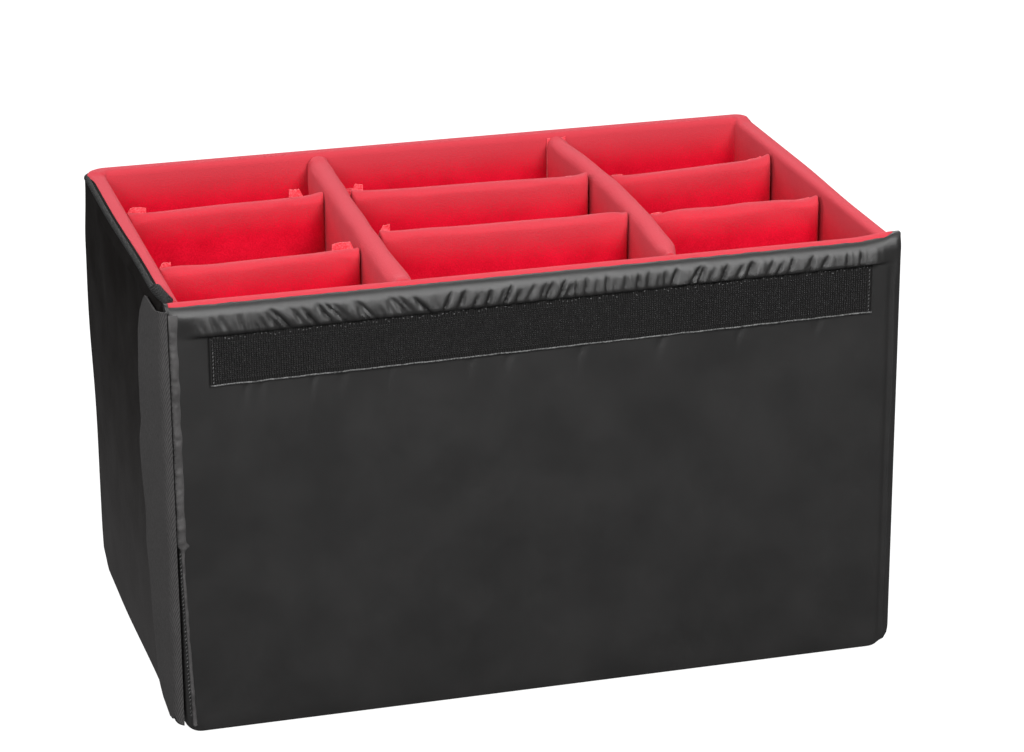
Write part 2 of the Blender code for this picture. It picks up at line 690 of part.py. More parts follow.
def make_short_dividers(long_ends):
    """Stands two short dividers in each of the three columns between the side walls and the long dividers."""
    columns = {
        "left": (
            lambda share: wall_place(INSIDE_LEFT, share),
            lambda share: side_of_long_divider("left", long_ends["left"], -1, share),
        ),
        "middle": (
            lambda share: side_of_long_divider("left", long_ends["left"], 1, share),
            lambda share: side_of_long_divider("right", long_ends["right"], -1, share),
        ),
        "right": (
            lambda share: side_of_long_divider("right", long_ends["right"], 1, share),
            lambda share: wall_place(INSIDE_RIGHT, share),
        ),
    }
    for column, (left_face, right_face) in columns.items():
        raises = [TAB_RAISE * share for share in TAB_RAISE_SHARES[column]]
        for number, (row, (left_share, right_share)) in enumerate(SHORT_DIVIDER_SHARES[column].items()):
            left, left_run = left_face(left_share)
            right, right_run = right_face(right_share)
            top = WRAP_HEIGHT - SHORT_TOP_DROP * TOP_DROP_SHARES[column][number]
            slope = SHORT_TOP_SLOPE * TOP_SLOPE_SHARES[column][number]
            ear = EAR_HEIGHT * EAR_SHARES[column][number]
            bow = SHORT_BOW * BOW_SHARES[column][number]
            form = Form(0, SHORT_DIVIDER_THICKNESS, bow, top, PINCH_PROFILE_SHARES, ear, slope)
            name = f"{column}_{row}_divider"
            make_divider(name, (left, right), (left_run, right_run), raises, form)


clear_scene()
front_wall_carrier = carrier("front_wall_hinge", HINGE_PLACE)
closure_flap_carrier = carrier("closure_flap_hinge", FLAP_PLACE)
make_walls(front_wall_carrier)
make_base()
make_front_fittings(front_wall_carrier)
make_closure(closure_flap_carrier)
make_hinge_seam()
make_short_dividers(make_long_dividers())
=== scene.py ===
# %% [markdown]
# # A padded case divider set
# This is the soft insert of a hard equipment case: four padded walls and a base in black nylon, lined with
# red loop cloth, and eight padded dividers that hook into the lining and make nine compartments. The CAD
# frame knows where every piece is and how it moves. This script dresses that frame as cloth.

# %% Load the frame
import math

import bmesh
import bpy
import numpy as np
from mathutils import Matrix, Vector


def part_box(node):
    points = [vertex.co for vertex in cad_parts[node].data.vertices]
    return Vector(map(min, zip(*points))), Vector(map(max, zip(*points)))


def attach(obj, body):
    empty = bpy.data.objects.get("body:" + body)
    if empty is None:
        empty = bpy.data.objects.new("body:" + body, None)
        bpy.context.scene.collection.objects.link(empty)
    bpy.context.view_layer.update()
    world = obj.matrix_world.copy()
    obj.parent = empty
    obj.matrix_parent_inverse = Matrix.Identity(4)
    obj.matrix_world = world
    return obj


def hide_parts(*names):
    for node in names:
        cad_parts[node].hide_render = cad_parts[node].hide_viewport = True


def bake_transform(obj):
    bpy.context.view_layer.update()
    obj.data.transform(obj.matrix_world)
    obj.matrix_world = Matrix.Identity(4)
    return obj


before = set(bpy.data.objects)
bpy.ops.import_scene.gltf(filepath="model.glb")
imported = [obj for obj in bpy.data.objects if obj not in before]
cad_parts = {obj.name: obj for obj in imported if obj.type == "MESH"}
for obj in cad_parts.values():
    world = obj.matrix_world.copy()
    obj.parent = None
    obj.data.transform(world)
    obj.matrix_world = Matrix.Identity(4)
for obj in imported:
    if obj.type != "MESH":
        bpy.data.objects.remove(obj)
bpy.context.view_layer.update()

# %% [markdown]
# ## Sizes that the cloth takes from the frame
# Every cloth piece lies on a CAD node, so the main planes are read from the nodes' boxes. A real sewn cover
# is puffier than the board in it, so a few named extras say how far the nylon stands proud.

# %% Planes and thicknesses
front_low, front_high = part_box("front_wall_cover")
left_low, left_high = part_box("left_wall_cover")
right_low, right_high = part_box("right_wall_cover")
back_low, back_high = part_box("back_wall_cover")
TOP = front_high.z
INSIDE_LEFT, INSIDE_RIGHT = left_high.x, right_low.x
INSIDE_FRONT, INSIDE_BACK = front_high.y, back_low.y
FRONT_FACE = front_low.y + 0.004
PROUD_REAR = 0.0030
PROUD_FRONT = 0.0005
CLOTH_GAP = 0.0003
print("inside", INSIDE_LEFT, INSIDE_RIGHT, INSIDE_FRONT, INSIDE_BACK, "front face", FRONT_FACE)

# %% [markdown]
# ## Making cloth from rings
# A sewn wall is the same section all the way along, so it is easiest as a row of rings: one closed loop of
# points at each station. numpy moves whole rows of points at once, which keeps the folds quick to make.

# %% Ring helpers
TURN = 2 * math.pi


def link(name, data):
    thing = bpy.data.objects.new(name, data)
    bpy.context.collection.objects.link(thing)
    return thing


def link_mesh(name, points, faces, material, smooth_angle=50):
    """A named mesh object with outward normals, smooth but for its real corners."""
    mesh = bpy.data.meshes.new(name)
    mesh.from_pydata([tuple(point) for point in points], [], faces)
    bm = bmesh.new()
    bm.from_mesh(mesh)
    bmesh.ops.recalc_face_normals(bm, faces=bm.faces)
    bm.to_mesh(mesh)
    bm.free()
    mesh.shade_smooth()
    mesh.set_sharp_from_angle(angle=math.radians(smooth_angle))
    mesh.materials.append(material)
    return link(name, mesh)


def ring_faces(count, around):
    """The quads between closed rings, as lists of point numbers."""
    ring, step = np.meshgrid(np.arange(count - 1) * around, np.arange(around), indexing="ij")
    after, far = (step + 1) % around, ring + around
    return np.stack([ring + step, ring + after, far + after, far + step], axis=-1).reshape(-1, 4).tolist()


def tube_of_rings(name, rings, material, paired_caps=False):
    """Closed rings joined into one closed body. Paired caps suit a ring whose two halves face each other."""
    rings = np.array(rings)
    count, around = rings.shape[:2]
    faces = ring_faces(count, around)
    for start in (0, (count - 1) * around):
        last = start + around - 1
        if paired_caps:
            faces += [[start + n, start + n + 1, last - 1 - n, last - n] for n in range(around // 2 - 1)]
        else:
            faces.append(list(range(start, last + 1)))
    return link_mesh(name, rings.reshape(-1, 3), faces, material)


def circle(count):
    """Cosine and sine of evenly spaced angles round a full turn."""
    return [(math.cos(angle), math.sin(angle)) for angle in np.arange(count) * TURN / count]


def smooth_step(value):
    value = np.clip(value, 0, 1)
    return value * value * (3 - 2 * value)


def hump(distance, half_width):
    """A smooth bump of height 1 that has faded a few half widths away."""
    return np.exp(-((distance / half_width) ** 2))


def ripple(along, across, seed, pitch):
    """A soft, uneven wave between about -1 and 1: a few sine waves of mixed direction and pitch."""
    dice = np.random.default_rng(seed)
    total = 0
    for _ in range(7):
        angle = dice.uniform(0, math.pi)
        length = pitch * dice.uniform(0.6, 1.8)
        phase = dice.uniform(0, TURN)
        total = total + np.sin((along * math.cos(angle) + across * math.sin(angle)) * TURN / length + phase)
    return total / 3.2


def dress(piece, body, slot, *nodes):
    """The piece rides on its body and stands for the CAD nodes named. The slot is not used."""
    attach(piece, body)
    if nodes:
        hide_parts(*nodes)
    return piece


# %% [markdown]
# ## Finishes
# Red loop cloth is a short brushed nap: matt from the front, and pale along its grazing edges, which is what
# Sheen does. Its band along the top is painted paler as well: painted sheen from the top light. The nylon is
# a fine plain weave with a dull gloss; on the back and side walls it is painted lighter towards the foot, as
# painted bounce light from the floor. Weave and nap are each one node group with named inputs, so that every
# material can place them with its own values.

# %% Node group helpers


def feed(tree, node, feeds):
    """Gives a node's inputs their values. Another node's output is linked instead."""
    for key, value in feeds.items():
        if isinstance(value, bpy.types.NodeSocket):
            tree.links.new(value, node.inputs[key])
        else:
            node.inputs[key].default_value = value


def add_node(tree, kind, feeds, output, **settings):
    """A new node, of which one output is given back."""
    node = tree.nodes.new(kind)
    for key, value in settings.items():
        setattr(node, key, value)
    feed(tree, node, feeds)
    return node.outputs[output]


class GroupMaker:
    """Builds a node group that starts from a Position and the named numbers."""

    def __init__(self, name, numbers, outputs):
        self.tree = bpy.data.node_groups.new(name, "ShaderNodeTree")
        new_socket = self.tree.interface.new_socket
        new_socket(name="Position", in_out="INPUT", socket_type="NodeSocketVector")
        for label, value in numbers.items():
            new_socket(name=label, in_out="INPUT", socket_type="NodeSocketFloat").default_value = value
        for label in outputs:
            new_socket(name=label, in_out="OUTPUT", socket_type="NodeSocketFloat")
        self.start = self.tree.nodes.new("NodeGroupInput").outputs
        self.end = self.tree.nodes.new("NodeGroupOutput").inputs

    def math(self, operation, *feeds):
        return add_node(self.tree, "ShaderNodeMath", dict(enumerate(feeds)), 0, operation=operation)

    def noise(self, scale, detail, roughness):
        feeds = {"Vector": self.start["Position"], "Scale": scale, "Detail": detail, "Roughness": roughness}
        return add_node(self.tree, "ShaderNodeTexNoise", feeds, "Fac")

    def axis(self, letter):
        return add_node(self.tree, "ShaderNodeSeparateXYZ", {"Vector": self.start["Position"]}, letter)

    def mix(self, first, share, second, rest):
        return self.math("ADD", self.math("MULTIPLY", first, share), self.math("MULTIPLY", second, rest))

    def give(self, label, output):
        self.tree.links.new(output, self.end[label])


# %% Nap of brushed loop cloth, with painted sheen along the top
nap = GroupMaker(
    "brushed_nap_painted_sheen", {"Tuft": 700.0, "Patch": 60.0, "Painted Sheen Top": 0.325, "Painted Sheen Depth": 0.034},
    ["Shade", "Height", "Painted Sheen"],
)
fine = nap.noise(nap.start["Tuft"], 3.0, 0.65)
broad = nap.noise(nap.start["Patch"], 4.0, 0.6)
nap.give("Shade", nap.mix(fine, 0.62, broad, 0.38))
nap.give("Height", nap.mix(fine, 0.7, broad, 0.3))
# Painted sheen: a band that fades down from the top edge, so the loop cloth is painted paler there as the top
# light's sheen.
below = nap.math("SUBTRACT", nap.start["Painted Sheen Top"], nap.axis("Z"))
wavy = nap.math("ADD", below, nap.math("MULTIPLY", nap.math("SUBTRACT", fine, 0.5), 0.030))
share = nap.math("DIVIDE", wavy, nap.start["Painted Sheen Depth"])
faded = {"Value": share, "From Min": 1.0, "From Max": 0.0}
nap.give("Painted Sheen", add_node(nap.tree, "ShaderNodeMapRange", faded, "Result", interpolation_type="SMOOTHSTEP"))

# %% Plain weave of the nylon, with painted floor bounce towards the foot
weave = GroupMaker("plain_weave_painted_bounce", {"Threads": 1300.0, "Crease": 26.0, "Painted Floor Bounce": 0.0}, ["Height", "Shade"])
height = weave.axis("Z")
turn = weave.math("MULTIPLY", weave.start["Threads"], TURN)
warp = weave.math("SINE", weave.math("MULTIPLY", weave.math("ADD", weave.axis("X"), weave.axis("Y")), turn))
weft = weave.math("SINE", weave.math("MULTIPLY", height, turn))
weave.give("Height", weave.math("MULTIPLY", warp, weft))
# Painted floor bounce: Shade rises towards the bottom, so a material that feeds it is painted lighter low
# down, as light bounced up from the floor.
downwards = weave.math("MAXIMUM", weave.math("SUBTRACT", 1.0, weave.math("DIVIDE", height, 0.33)), 0.0)
painted_floor_bounce = weave.math("MULTIPLY", weave.math("POWER", downwards, 1.5), weave.start["Painted Floor Bounce"])
weave.give("Shade", weave.math("ADD", weave.noise(weave.start["Crease"], 5.0, 0.55), painted_floor_bounce))

# %% Ribs of hook tape and knitted loop cloth
ribs = GroupMaker("slanted_ribs", {"Pitch": 900.0, "Slant": 0.5}, ["Height"])
run = ribs.math("SUBTRACT", ribs.axis("Y"), ribs.axis("X"))
lean = ribs.math("ADD", run, ribs.math("MULTIPLY", ribs.axis("Z"), ribs.start["Slant"]))
grain = ribs.noise(420.0, 3.0, 0.5)
bent = ribs.math("ADD", lean, ribs.math("MULTIPLY", grain, 0.0012))
wave = ribs.math("SINE", ribs.math("MULTIPLY", bent, ribs.math("MULTIPLY", ribs.start["Pitch"], TURN)))
ribs.give("Height", ribs.math("ADD", ribs.math("MULTIPLY", wave, 0.5), grain))

# %% Materials


def new_material(name):
    """A material, its tree and its shader."""
    made = bpy.data.materials.new(name)
    made.use_nodes = True
    return made, made.node_tree, made.node_tree.nodes["Principled BSDF"]


def cloth_material(name, group, values, dark, light, shade_from, roughness, bump, specular, sheen=0.0,
                   sheen_tint=(1, 1, 1, 1), painted_sheen=None):
    """A Principled cloth: its colour runs from dark to light with the group's shade. Where painted_sheen is
    given, that paler colour is painted over the group's top band, as painted sheen from the top light.
    """
    made, tree, shader = new_material(name)
    field = tree.nodes.new("ShaderNodeGroup")
    field.node_tree = group.tree
    feed(tree, field, {"Position": add_node(tree, "ShaderNodeTexCoord", {}, "Object"), **values})
    shade = field.outputs["Shade" if "Shade" in field.outputs else "Height"]
    spread = {"Value": shade, "From Min": shade_from[0], "From Max": shade_from[1]}
    ramp = add_node(tree, "ShaderNodeMapRange", spread, "Result")
    blend = {"A": (*dark, 1), "B": (*light, 1), "Factor": ramp}
    colour = add_node(tree, "ShaderNodeMix", blend, "Result", data_type="RGBA")
    # Painted sheen: the paler colour is mixed in along the top band, standing in for the top light's sheen.
    if painted_sheen:
        blend = {"B": (*painted_sheen, 1), "A": colour, "Factor": field.outputs["Painted Sheen"]}
        colour = add_node(tree, "ShaderNodeMix", blend, "Result", data_type="RGBA")
    gloss = {"To Min": roughness[0], "To Max": roughness[1], "Value": ramp}
    relief = {"Strength": bump[0], "Distance": bump[1], "Height": field.outputs["Height"]}
    feed(tree, shader, {
        "Base Color": colour,
        "Roughness": add_node(tree, "ShaderNodeMapRange", gloss, "Result"),
        "Normal": add_node(tree, "ShaderNodeBump", relief, "Normal"),
        "Specular IOR Level": specular,
        "Sheen Weight": sheen,
        "Sheen Tint": sheen_tint,
    })
    return made


def grey(level):
    return (level, level, level)


# Its paler colour along the top band is painted sheen from the top light; the mottle between dark and light is
# the cloth's own.
PLUSH = cloth_material(
    "red_loop_cloth", nap, {"Tuft": 900.0, "Patch": 48.0}, (0.50, 0.0003, 0.0125), (0.70, 0.0030, 0.0250),
    (0.36, 0.64), (0.95, 0.80), (0.60, 0.0010), 0.05, 0.14, (1, 0.60, 0.66, 1), painted_sheen=(0.53, 0.047, 0.064),
)
HOOK_RED = cloth_material(
    "red_hook_cloth", nap, {"Tuft": 900.0, "Patch": 300.0}, (0.70, 0.010, 0.030), (0.95, 0.12, 0.15),
    (0.40, 0.62), (0.80, 0.60), (0.9, 0.0012), 0.2, sheen=0.4,
)
NYLON = cloth_material(
    "black_nylon", weave, {"Threads": 1100.0, "Crease": 22.0}, (0.0046, 0.0042, 0.0041),
    (0.0074, 0.0068, 0.0066), (0.35, 0.68), (0.42, 0.50), (0.25, 0.0002), 0.80,
)
# The back and side walls' nylon is painted lighter towards its foot: painted bounce light from the floor.
SIDE_NYLON_PAINTED_BOUNCE = cloth_material(
    "black_side_nylon_painted_bounce", weave, {"Threads": 1100.0, "Crease": 22.0, "Painted Floor Bounce": 2.0}, (0.0085, 0.0074, 0.0070),
    (0.0560, 0.0540, 0.0540), (0.46, 2.46), (0.80, 0.90), (0.30, 0.0002), 0.03,
)
FLAP_GREY = cloth_material(
    "grey_brushed_loop", ribs, {"Pitch": 460.0, "Slant": 0.55}, (0.040, 0.0388, 0.0388),
    (0.078, 0.0757, 0.0757), (0.0, 1.1), (1.0, 0.9), (0.4, 0.0004), 0.02,
)
# The hem is the black nylon's gathered, rounded edge; its light grey colour is a painted highlight.
HEM_PAINTED_HIGHLIGHT = cloth_material(
    "hem_painted_highlight", weave, {"Threads": 900.0, "Crease": 90.0}, (0.050, 0.048, 0.048), (0.085, 0.082, 0.082),
    (0.35, 0.68), (0.46, 0.58), (0.3, 0.0003), 0.30, sheen=0.05,
)
TAPE_BLACK = cloth_material(
    "black_hook_tape", ribs, {"Pitch": 570.0, "Slant": 0.0}, (0.0055, 0.0053, 0.0053),
    (0.020, 0.0195, 0.0195), (0.0, 1.1), (0.80, 0.65), (0.8, 0.0005), 0.15,
)
HOOKS = cloth_material(
    "black_hooks", nap, {"Tuft": 1200.0, "Patch": 200.0}, grey(0.030), (0.130, 0.130, 0.132),
    (0.38, 0.62), (0.45, 0.35), (0.1, 0.0002), 0.4,
)
THREAD = cloth_material(
    "grey_thread", nap, {"Tuft": 900.0, "Patch": 300.0}, grey(0.012), grey(0.16),
    (0.38, 0.62), (0.55, 0.40), (0.2, 0.0001), 0.3,
)
BLACK_THREAD = cloth_material(
    "black_thread", nap, {"Tuft": 2600.0, "Patch": 400.0}, grey(0.010), grey(0.050),
    (0.38, 0.62), (0.55, 0.40), (0.2, 0.0001), 0.3,
)
BINDING = cloth_material(
    "black_binding", ribs, {"Pitch": 520.0, "Slant": 1.4}, grey(0.003), grey(0.075),
    (0.1, 1.2), (0.65, 0.50), (0.9, 0.0012), 0.2,
)
print("materials", [made.name for made in bpy.data.materials])

# %% [markdown]
# ## The walls
# A wall is a foam board in a cover: nylon outside, loop cloth inside, and the two sewn together along the
# top. Each wall is made as two closed bodies that meet at the middle of the board, so the seam along the top
# is a real edge. The section is written as depth in from the outer face and height, then swept along the wall.

# %% The section of a wall
TOP_RADIUS = 0.0045
SEAM_DIP = 0.0006
LINING_ROWS = 34


def outer_rows(middle, low_count, high_count):
    """Heights up a wall's outer face, closer together above the middle height given."""
    low, high = np.linspace(0.0, middle, low_count), np.linspace(middle, TOP - TOP_RADIUS, high_count)
    return np.concatenate([low, high[1:]])


def foot_lift(from_end, radius=0.020):
    """How far an edge rises near its end, where the corner of the board is round."""
    inwards = np.clip(radius - from_end, 0, radius)
    return radius - np.sqrt(np.maximum(radius**2 - inwards**2, 0))


def top_height(depth, width, outer_radius):
    """How high the wall's rounded top is at this depth in from its outer face."""
    height = TOP
    for radius, from_edge in ((outer_radius, depth), (TOP_RADIUS, width - depth)):
        height = height - foot_lift(from_edge, radius)
    return height


def wall_sections(width, seam, foot_radius, rows, bound, top_radius):
    """Depth and height of every point of the nylon's ring and of the lining's ring at one station.

    A bound station is where the nylon is folded over the wall's end, so its ring takes the whole thickness.
    """
    half = width / 2
    edge = width - CLOTH_GAP if bound else half - CLOTH_GAP
    seam = edge if bound else seam
    foot = np.linspace(0, math.pi / 2, 7)
    side = foot_radius + rows * (TOP - top_radius - foot_radius) / (TOP - TOP_RADIUS)
    crest = seam * (1 - np.cos(np.linspace(0, math.pi / 2, 10)))[1:]
    crest_height = top_height(crest, width, top_radius)
    if not bound:
        crest_height[-1] -= SEAM_DIP
    nylon = np.concatenate([
        [(edge, 0.0)],
        np.stack([foot_radius * (1 - np.sin(foot)), foot_radius * (1 - np.cos(foot))], 1),
        np.stack([np.zeros(len(side) - 1), side[1:]], 1),
        np.stack([crest, crest_height], 1),
        [(edge, min(TOP - TOP_RADIUS, crest_height[-1]) - 0.0010), (edge, TOP / 2)],
    ])
    inner = TOP_RADIUS + (TOP - 2 * TOP_RADIUS) * np.linspace(0, 1, LINING_ROWS)
    over = width - (width - seam) * np.linspace(0, 1, 14)[1:] ** 1.3
    over_height = top_height(over, width, top_radius)
    over_height[-1] -= SEAM_DIP
    lining = np.concatenate([
        [(half, 0.0), (width - TOP_RADIUS, 0.0)],
        np.stack([np.full(LINING_ROWS, width), inner], 1),
        np.stack([over, over_height], 1),
        [(half, TOP - TOP_RADIUS + CLOTH_GAP)],
    ])
    return nylon, lining


def sweep_wall(stations, rows, puff, line):
    """Rings for both bodies. puff and line say how far the nylon and the lining stand off their planes."""
    nylon_rings, lining_rings = [], []
    for station in stations:
        outer, inner, at = np.array(station["outer"]), np.array(station["inner"]), station["at"]
        width = np.linalg.norm(inner - outer)
        inwards = (inner - outer) / width
        bound, seam = station.get("bound", False), station["seam"]
        top_radius = station.get("top_radius", TOP_RADIUS)
        nylon, lining = wall_sections(width, seam, station["foot"], rows, bound, top_radius)
        reach = width if bound else seam
        crest = smooth_step((reach - nylon[:, 0]) / (0.6 * reach))
        drawn_in = station["draw_in"] * smooth_step(1 - nylon[:, 0] / (width / 2))
        swept = [(nylon_rings, nylon, drawn_in - crest * puff(at, nylon[:, 1]))]
        if not bound:
            swept.append((lining_rings, lining, (lining[:, 0] > width * 0.65) * line(at, lining[:, 1])))
        for rings, section, shift in swept:
            depth, height = section[:, 0] + shift, section[:, 1]
            height = height + station["lift"] * (1 - height / TOP) ** 6
            height = height + station["rise"] * smooth_step((height - TOP + 0.012) / 0.012)
            rings.append(np.column_stack([outer[None, :] + inwards[None, :] * depth[:, None], height]))
    return np.array(nylon_rings), np.array(lining_rings)


def padded_pair(body, nylon, nylon_nodes, lining, lining_nodes):
    """The nylon and the lining of one pad, on their body."""
    halves = ((nylon, "nylon_cover", nylon_nodes), (lining, "red_loop_lining", lining_nodes))
    for piece, slot, nodes in halves:
        dress(piece, body, slot, *nodes)


# %% [markdown]
# ### The front wall
# Above the hook strip the cover is gathered into a soft roll, with short creases that start at the strip's
# seam. Each crease is a narrow valley that leans and fades, so its place, lean and depth can be chosen.

# %% Front wall
FRONT_LEFT_END = -0.2692
FRONT_RIGHT_END = 0.2738
FRONT_TOP_RADIUS = 0.0092
ROLL_CROWN = 0.0058
BINDING_TURN = 0.0024
RIGHT_TURN = 0.0052
strip_low, strip_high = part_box("front_hook_strip")
STRIP_TILT = 0.0054 / (strip_high.x - strip_low.x)
STRIP_BOTTOM, STRIP_TOP = strip_low.z + 0.0006, strip_high.z + 0.0032
strip_middle = (strip_high.x + strip_low.x) / 2
CREASE_FAMILIES = [
    # from x, to x, how many, lean, reach up the roll, depth, half width
    (-0.244, -0.190, 10, -0.40, 0.75, 0.0020, 0.0019),
    (-0.192, -0.078, 13, -0.80, 1.10, 0.0038, 0.0024),
    (-0.185, -0.070, 12, -0.40, 0.60, 0.0022, 0.0016),
    (-0.078, 0.022, 13, 0.45, 0.85, 0.0036, 0.0021),
    (0.020, 0.095, 10, 0.15, 0.95, 0.0028, 0.0020),
    (0.092, 0.214, 14, 0.55, 0.90, 0.0040, 0.0022),
    (0.205, 0.250, 3, 0.20, 0.80, 0.0020, 0.0020),
]
PUCKER_PLACES = (-0.214, -0.203, -0.166, -0.145, -0.110, -0.052, -0.024, 0.03, 0.09, 0.15, 0.21)
dice = np.random.default_rng(7)
CREASES = [
    (
        low_x + (high_x - low_x) / count * (number + dice.uniform(0.15, 0.85)),
        lean * dice.uniform(0.7, 1.3),
        reach * dice.uniform(0.65, 1.15),
        depth * dice.uniform(0.22, 0.85),
        half_width * dice.uniform(0.55, 1.10),
    )
    for low_x, high_x, count, lean, reach, depth, half_width in CREASE_FAMILIES
    for number in range(count)
]
PUCKERS = [(x, 0.0009 * dice.uniform(0.6, 1.2), dice.uniform(0.002, 0.004)) for x in PUCKER_PLACES]


def front_puff(x, height):
    """The front face's roll with its creases, the puckers under the strip and the cover's faint swell."""
    low = STRIP_TOP - 0.0004 + STRIP_TILT * (x - strip_middle)
    along = np.clip((height - low) / (TOP - low), 0, 1)
    to_seam = FRONT_RIGHT_END - x
    ends = smooth_step((min(x - FRONT_LEFT_END, to_seam) + 0.006) / (0.018 if x < 0 else 0.030))
    beside = smooth_step(max(strip_low.x - x, x - strip_high.x, 0) / 0.020)
    rise = np.sin(math.pi / 2 * np.clip(along / 0.17, 0, 1)) ** 0.8
    rise = rise * (1 - beside) + smooth_step(along / 0.75) * beside
    fall = 1 - 0.94 * np.clip((along - 0.06) / 0.94, 0, 1) ** 1.35
    roll = ROLL_CROWN * rise * fall * ends * (1 - 0.3 * beside) * (along > 0)
    under_crown = smooth_step(along * 9) * smooth_step((0.86 - along) / 0.3)
    creased = 0.0
    for spot, lean, reach, depth, half_width in CREASES:
        if abs(x - spot) <= 0.045:
            valley = hump(x - spot - lean * (height - low), half_width * (1 - 0.35 * along))
            creased = creased + depth * smooth_step(1.6 * (1 - along / reach)) * under_crown * valley
    gathers = 0.0003 * ripple(x, 0.15 * height, 23, 0.0045) * smooth_step(along / 0.3)
    gathers = gathers * smooth_step((0.8 - along) / 0.3) * ends
    under = low - (STRIP_TOP - STRIP_BOTTOM) - 0.0006
    pucker = 0.0
    for spot, depth, half_width in PUCKERS:
        pucker = pucker + depth * hump(x - spot + 0.3 * (under - height), half_width)
    pucker = pucker * smooth_step((height - under + 0.014) / 0.012) * (height < under + 0.004)
    swell = 0.0006 * ripple(x, height, 21, 0.16)
    swell = swell * smooth_step((TOP - 0.0245 - height) / 0.03) * smooth_step(height / 0.03)
    edge = 0.0010 * hump(to_seam - 0.0042, 0.0016) - 0.0012 * hump(to_seam - 0.0085, 0.0026)
    edge = edge * smooth_step((TOP - 0.012 - height) / 0.02)
    return np.maximum(roll - creased, -0.0008) + gathers - pucker + swell * ends + edge


def front_line(x, height):
    return 0.0004 * ripple(x, height, 22, 0.08) * smooth_step((TOP - height) / 0.02)


front_stations = []
turn = np.array([0.0, 0.0004, 0.0012, BINDING_TURN])
front_xs = np.concatenate([
    FRONT_LEFT_END + turn,
    np.linspace(FRONT_LEFT_END + BINDING_TURN + 0.0002, FRONT_RIGHT_END - RIGHT_TURN - 0.0002, 440),
    (FRONT_RIGHT_END - np.append(turn, RIGHT_TURN))[::-1],
])
for x in front_xs:
    from_end = min(x - FRONT_LEFT_END, FRONT_RIGHT_END - x)
    front_stations.append({
        "outer": (x, FRONT_FACE),
        "inner": (x, INSIDE_FRONT),
        "at": x,
        "seam": 0.0046 + 0.0002 * ripple(x, 0.0, 24, 0.011) + 0.0048 * smooth_step((x - 0.2600) / 0.012),
        "foot": 0.0020,
        "top_radius": FRONT_TOP_RADIUS,
        "draw_in": foot_lift(from_end, 0.0055),
        "lift": foot_lift(from_end, 0.014 if x < 0 else 0.018),
        "bound": from_end <= (BINDING_TURN if x < 0 else RIGHT_TURN) + 0.00001,
        "rise": 0.0024 * smooth_step((x - 0.235) / 0.036),
    })
nylon_rings, lining_rings = sweep_wall(front_stations, outer_rows(0.2620, 30, 42), front_puff, front_line)
front_nylon = tube_of_rings("front_wall_nylon", nylon_rings, NYLON)
front_lining = tube_of_rings("front_wall_loop_lining", lining_rings, PLUSH)
covers = ["front_wall_cover", "front_wall_foam"]
padded_pair("front_wall", front_nylon, covers, front_lining, ["front_wall_lining"])
print("front wall", nylon_rings.shape, lining_rings.shape)

# %% [markdown]
# ### The back and side walls
# These three boards share one long cover that runs round the two rear corners, so they are one sweep along a
# U-shaped path: an outer line with wide corners and an inner line with tight ones.

# %% The U-shaped wrap
SIDE_START = INSIDE_FRONT + CLOTH_GAP
OUTER_CORNER = 0.0180
RIGHT_CORNER = 0.0105
INNER_CORNER = 0.0030
CORNER_STATIONS = 13
BACK_FACE = back_high.y
RIGHT_FACE_X = right_high.x - 0.0012
LEFT_FACE_X = left_low.x
LEFT_RUN = BACK_FACE - SIDE_START
FOLD_DROP = 0.0105
END_STEPS = np.array([0, 0.0004, 0.0012, 0.0025, 0.0042, 0.0065, 0.0095, 0.013, 0.017, 0.0215])


def corner_arc(centre_x, centre_y, radius, start, end):
    angles = np.radians(np.linspace(start, end, CORNER_STATIONS))
    return [(centre_x + radius * math.cos(a), centre_y + radius * math.sin(a)) for a in angles]


def side_depths(rear):
    """How far back each station of a side wall is: close together at its front end, then even."""
    return np.concatenate([SIDE_START + END_STEPS, np.linspace(SIDE_START + END_STEPS[-1], rear, 70)[1:]])


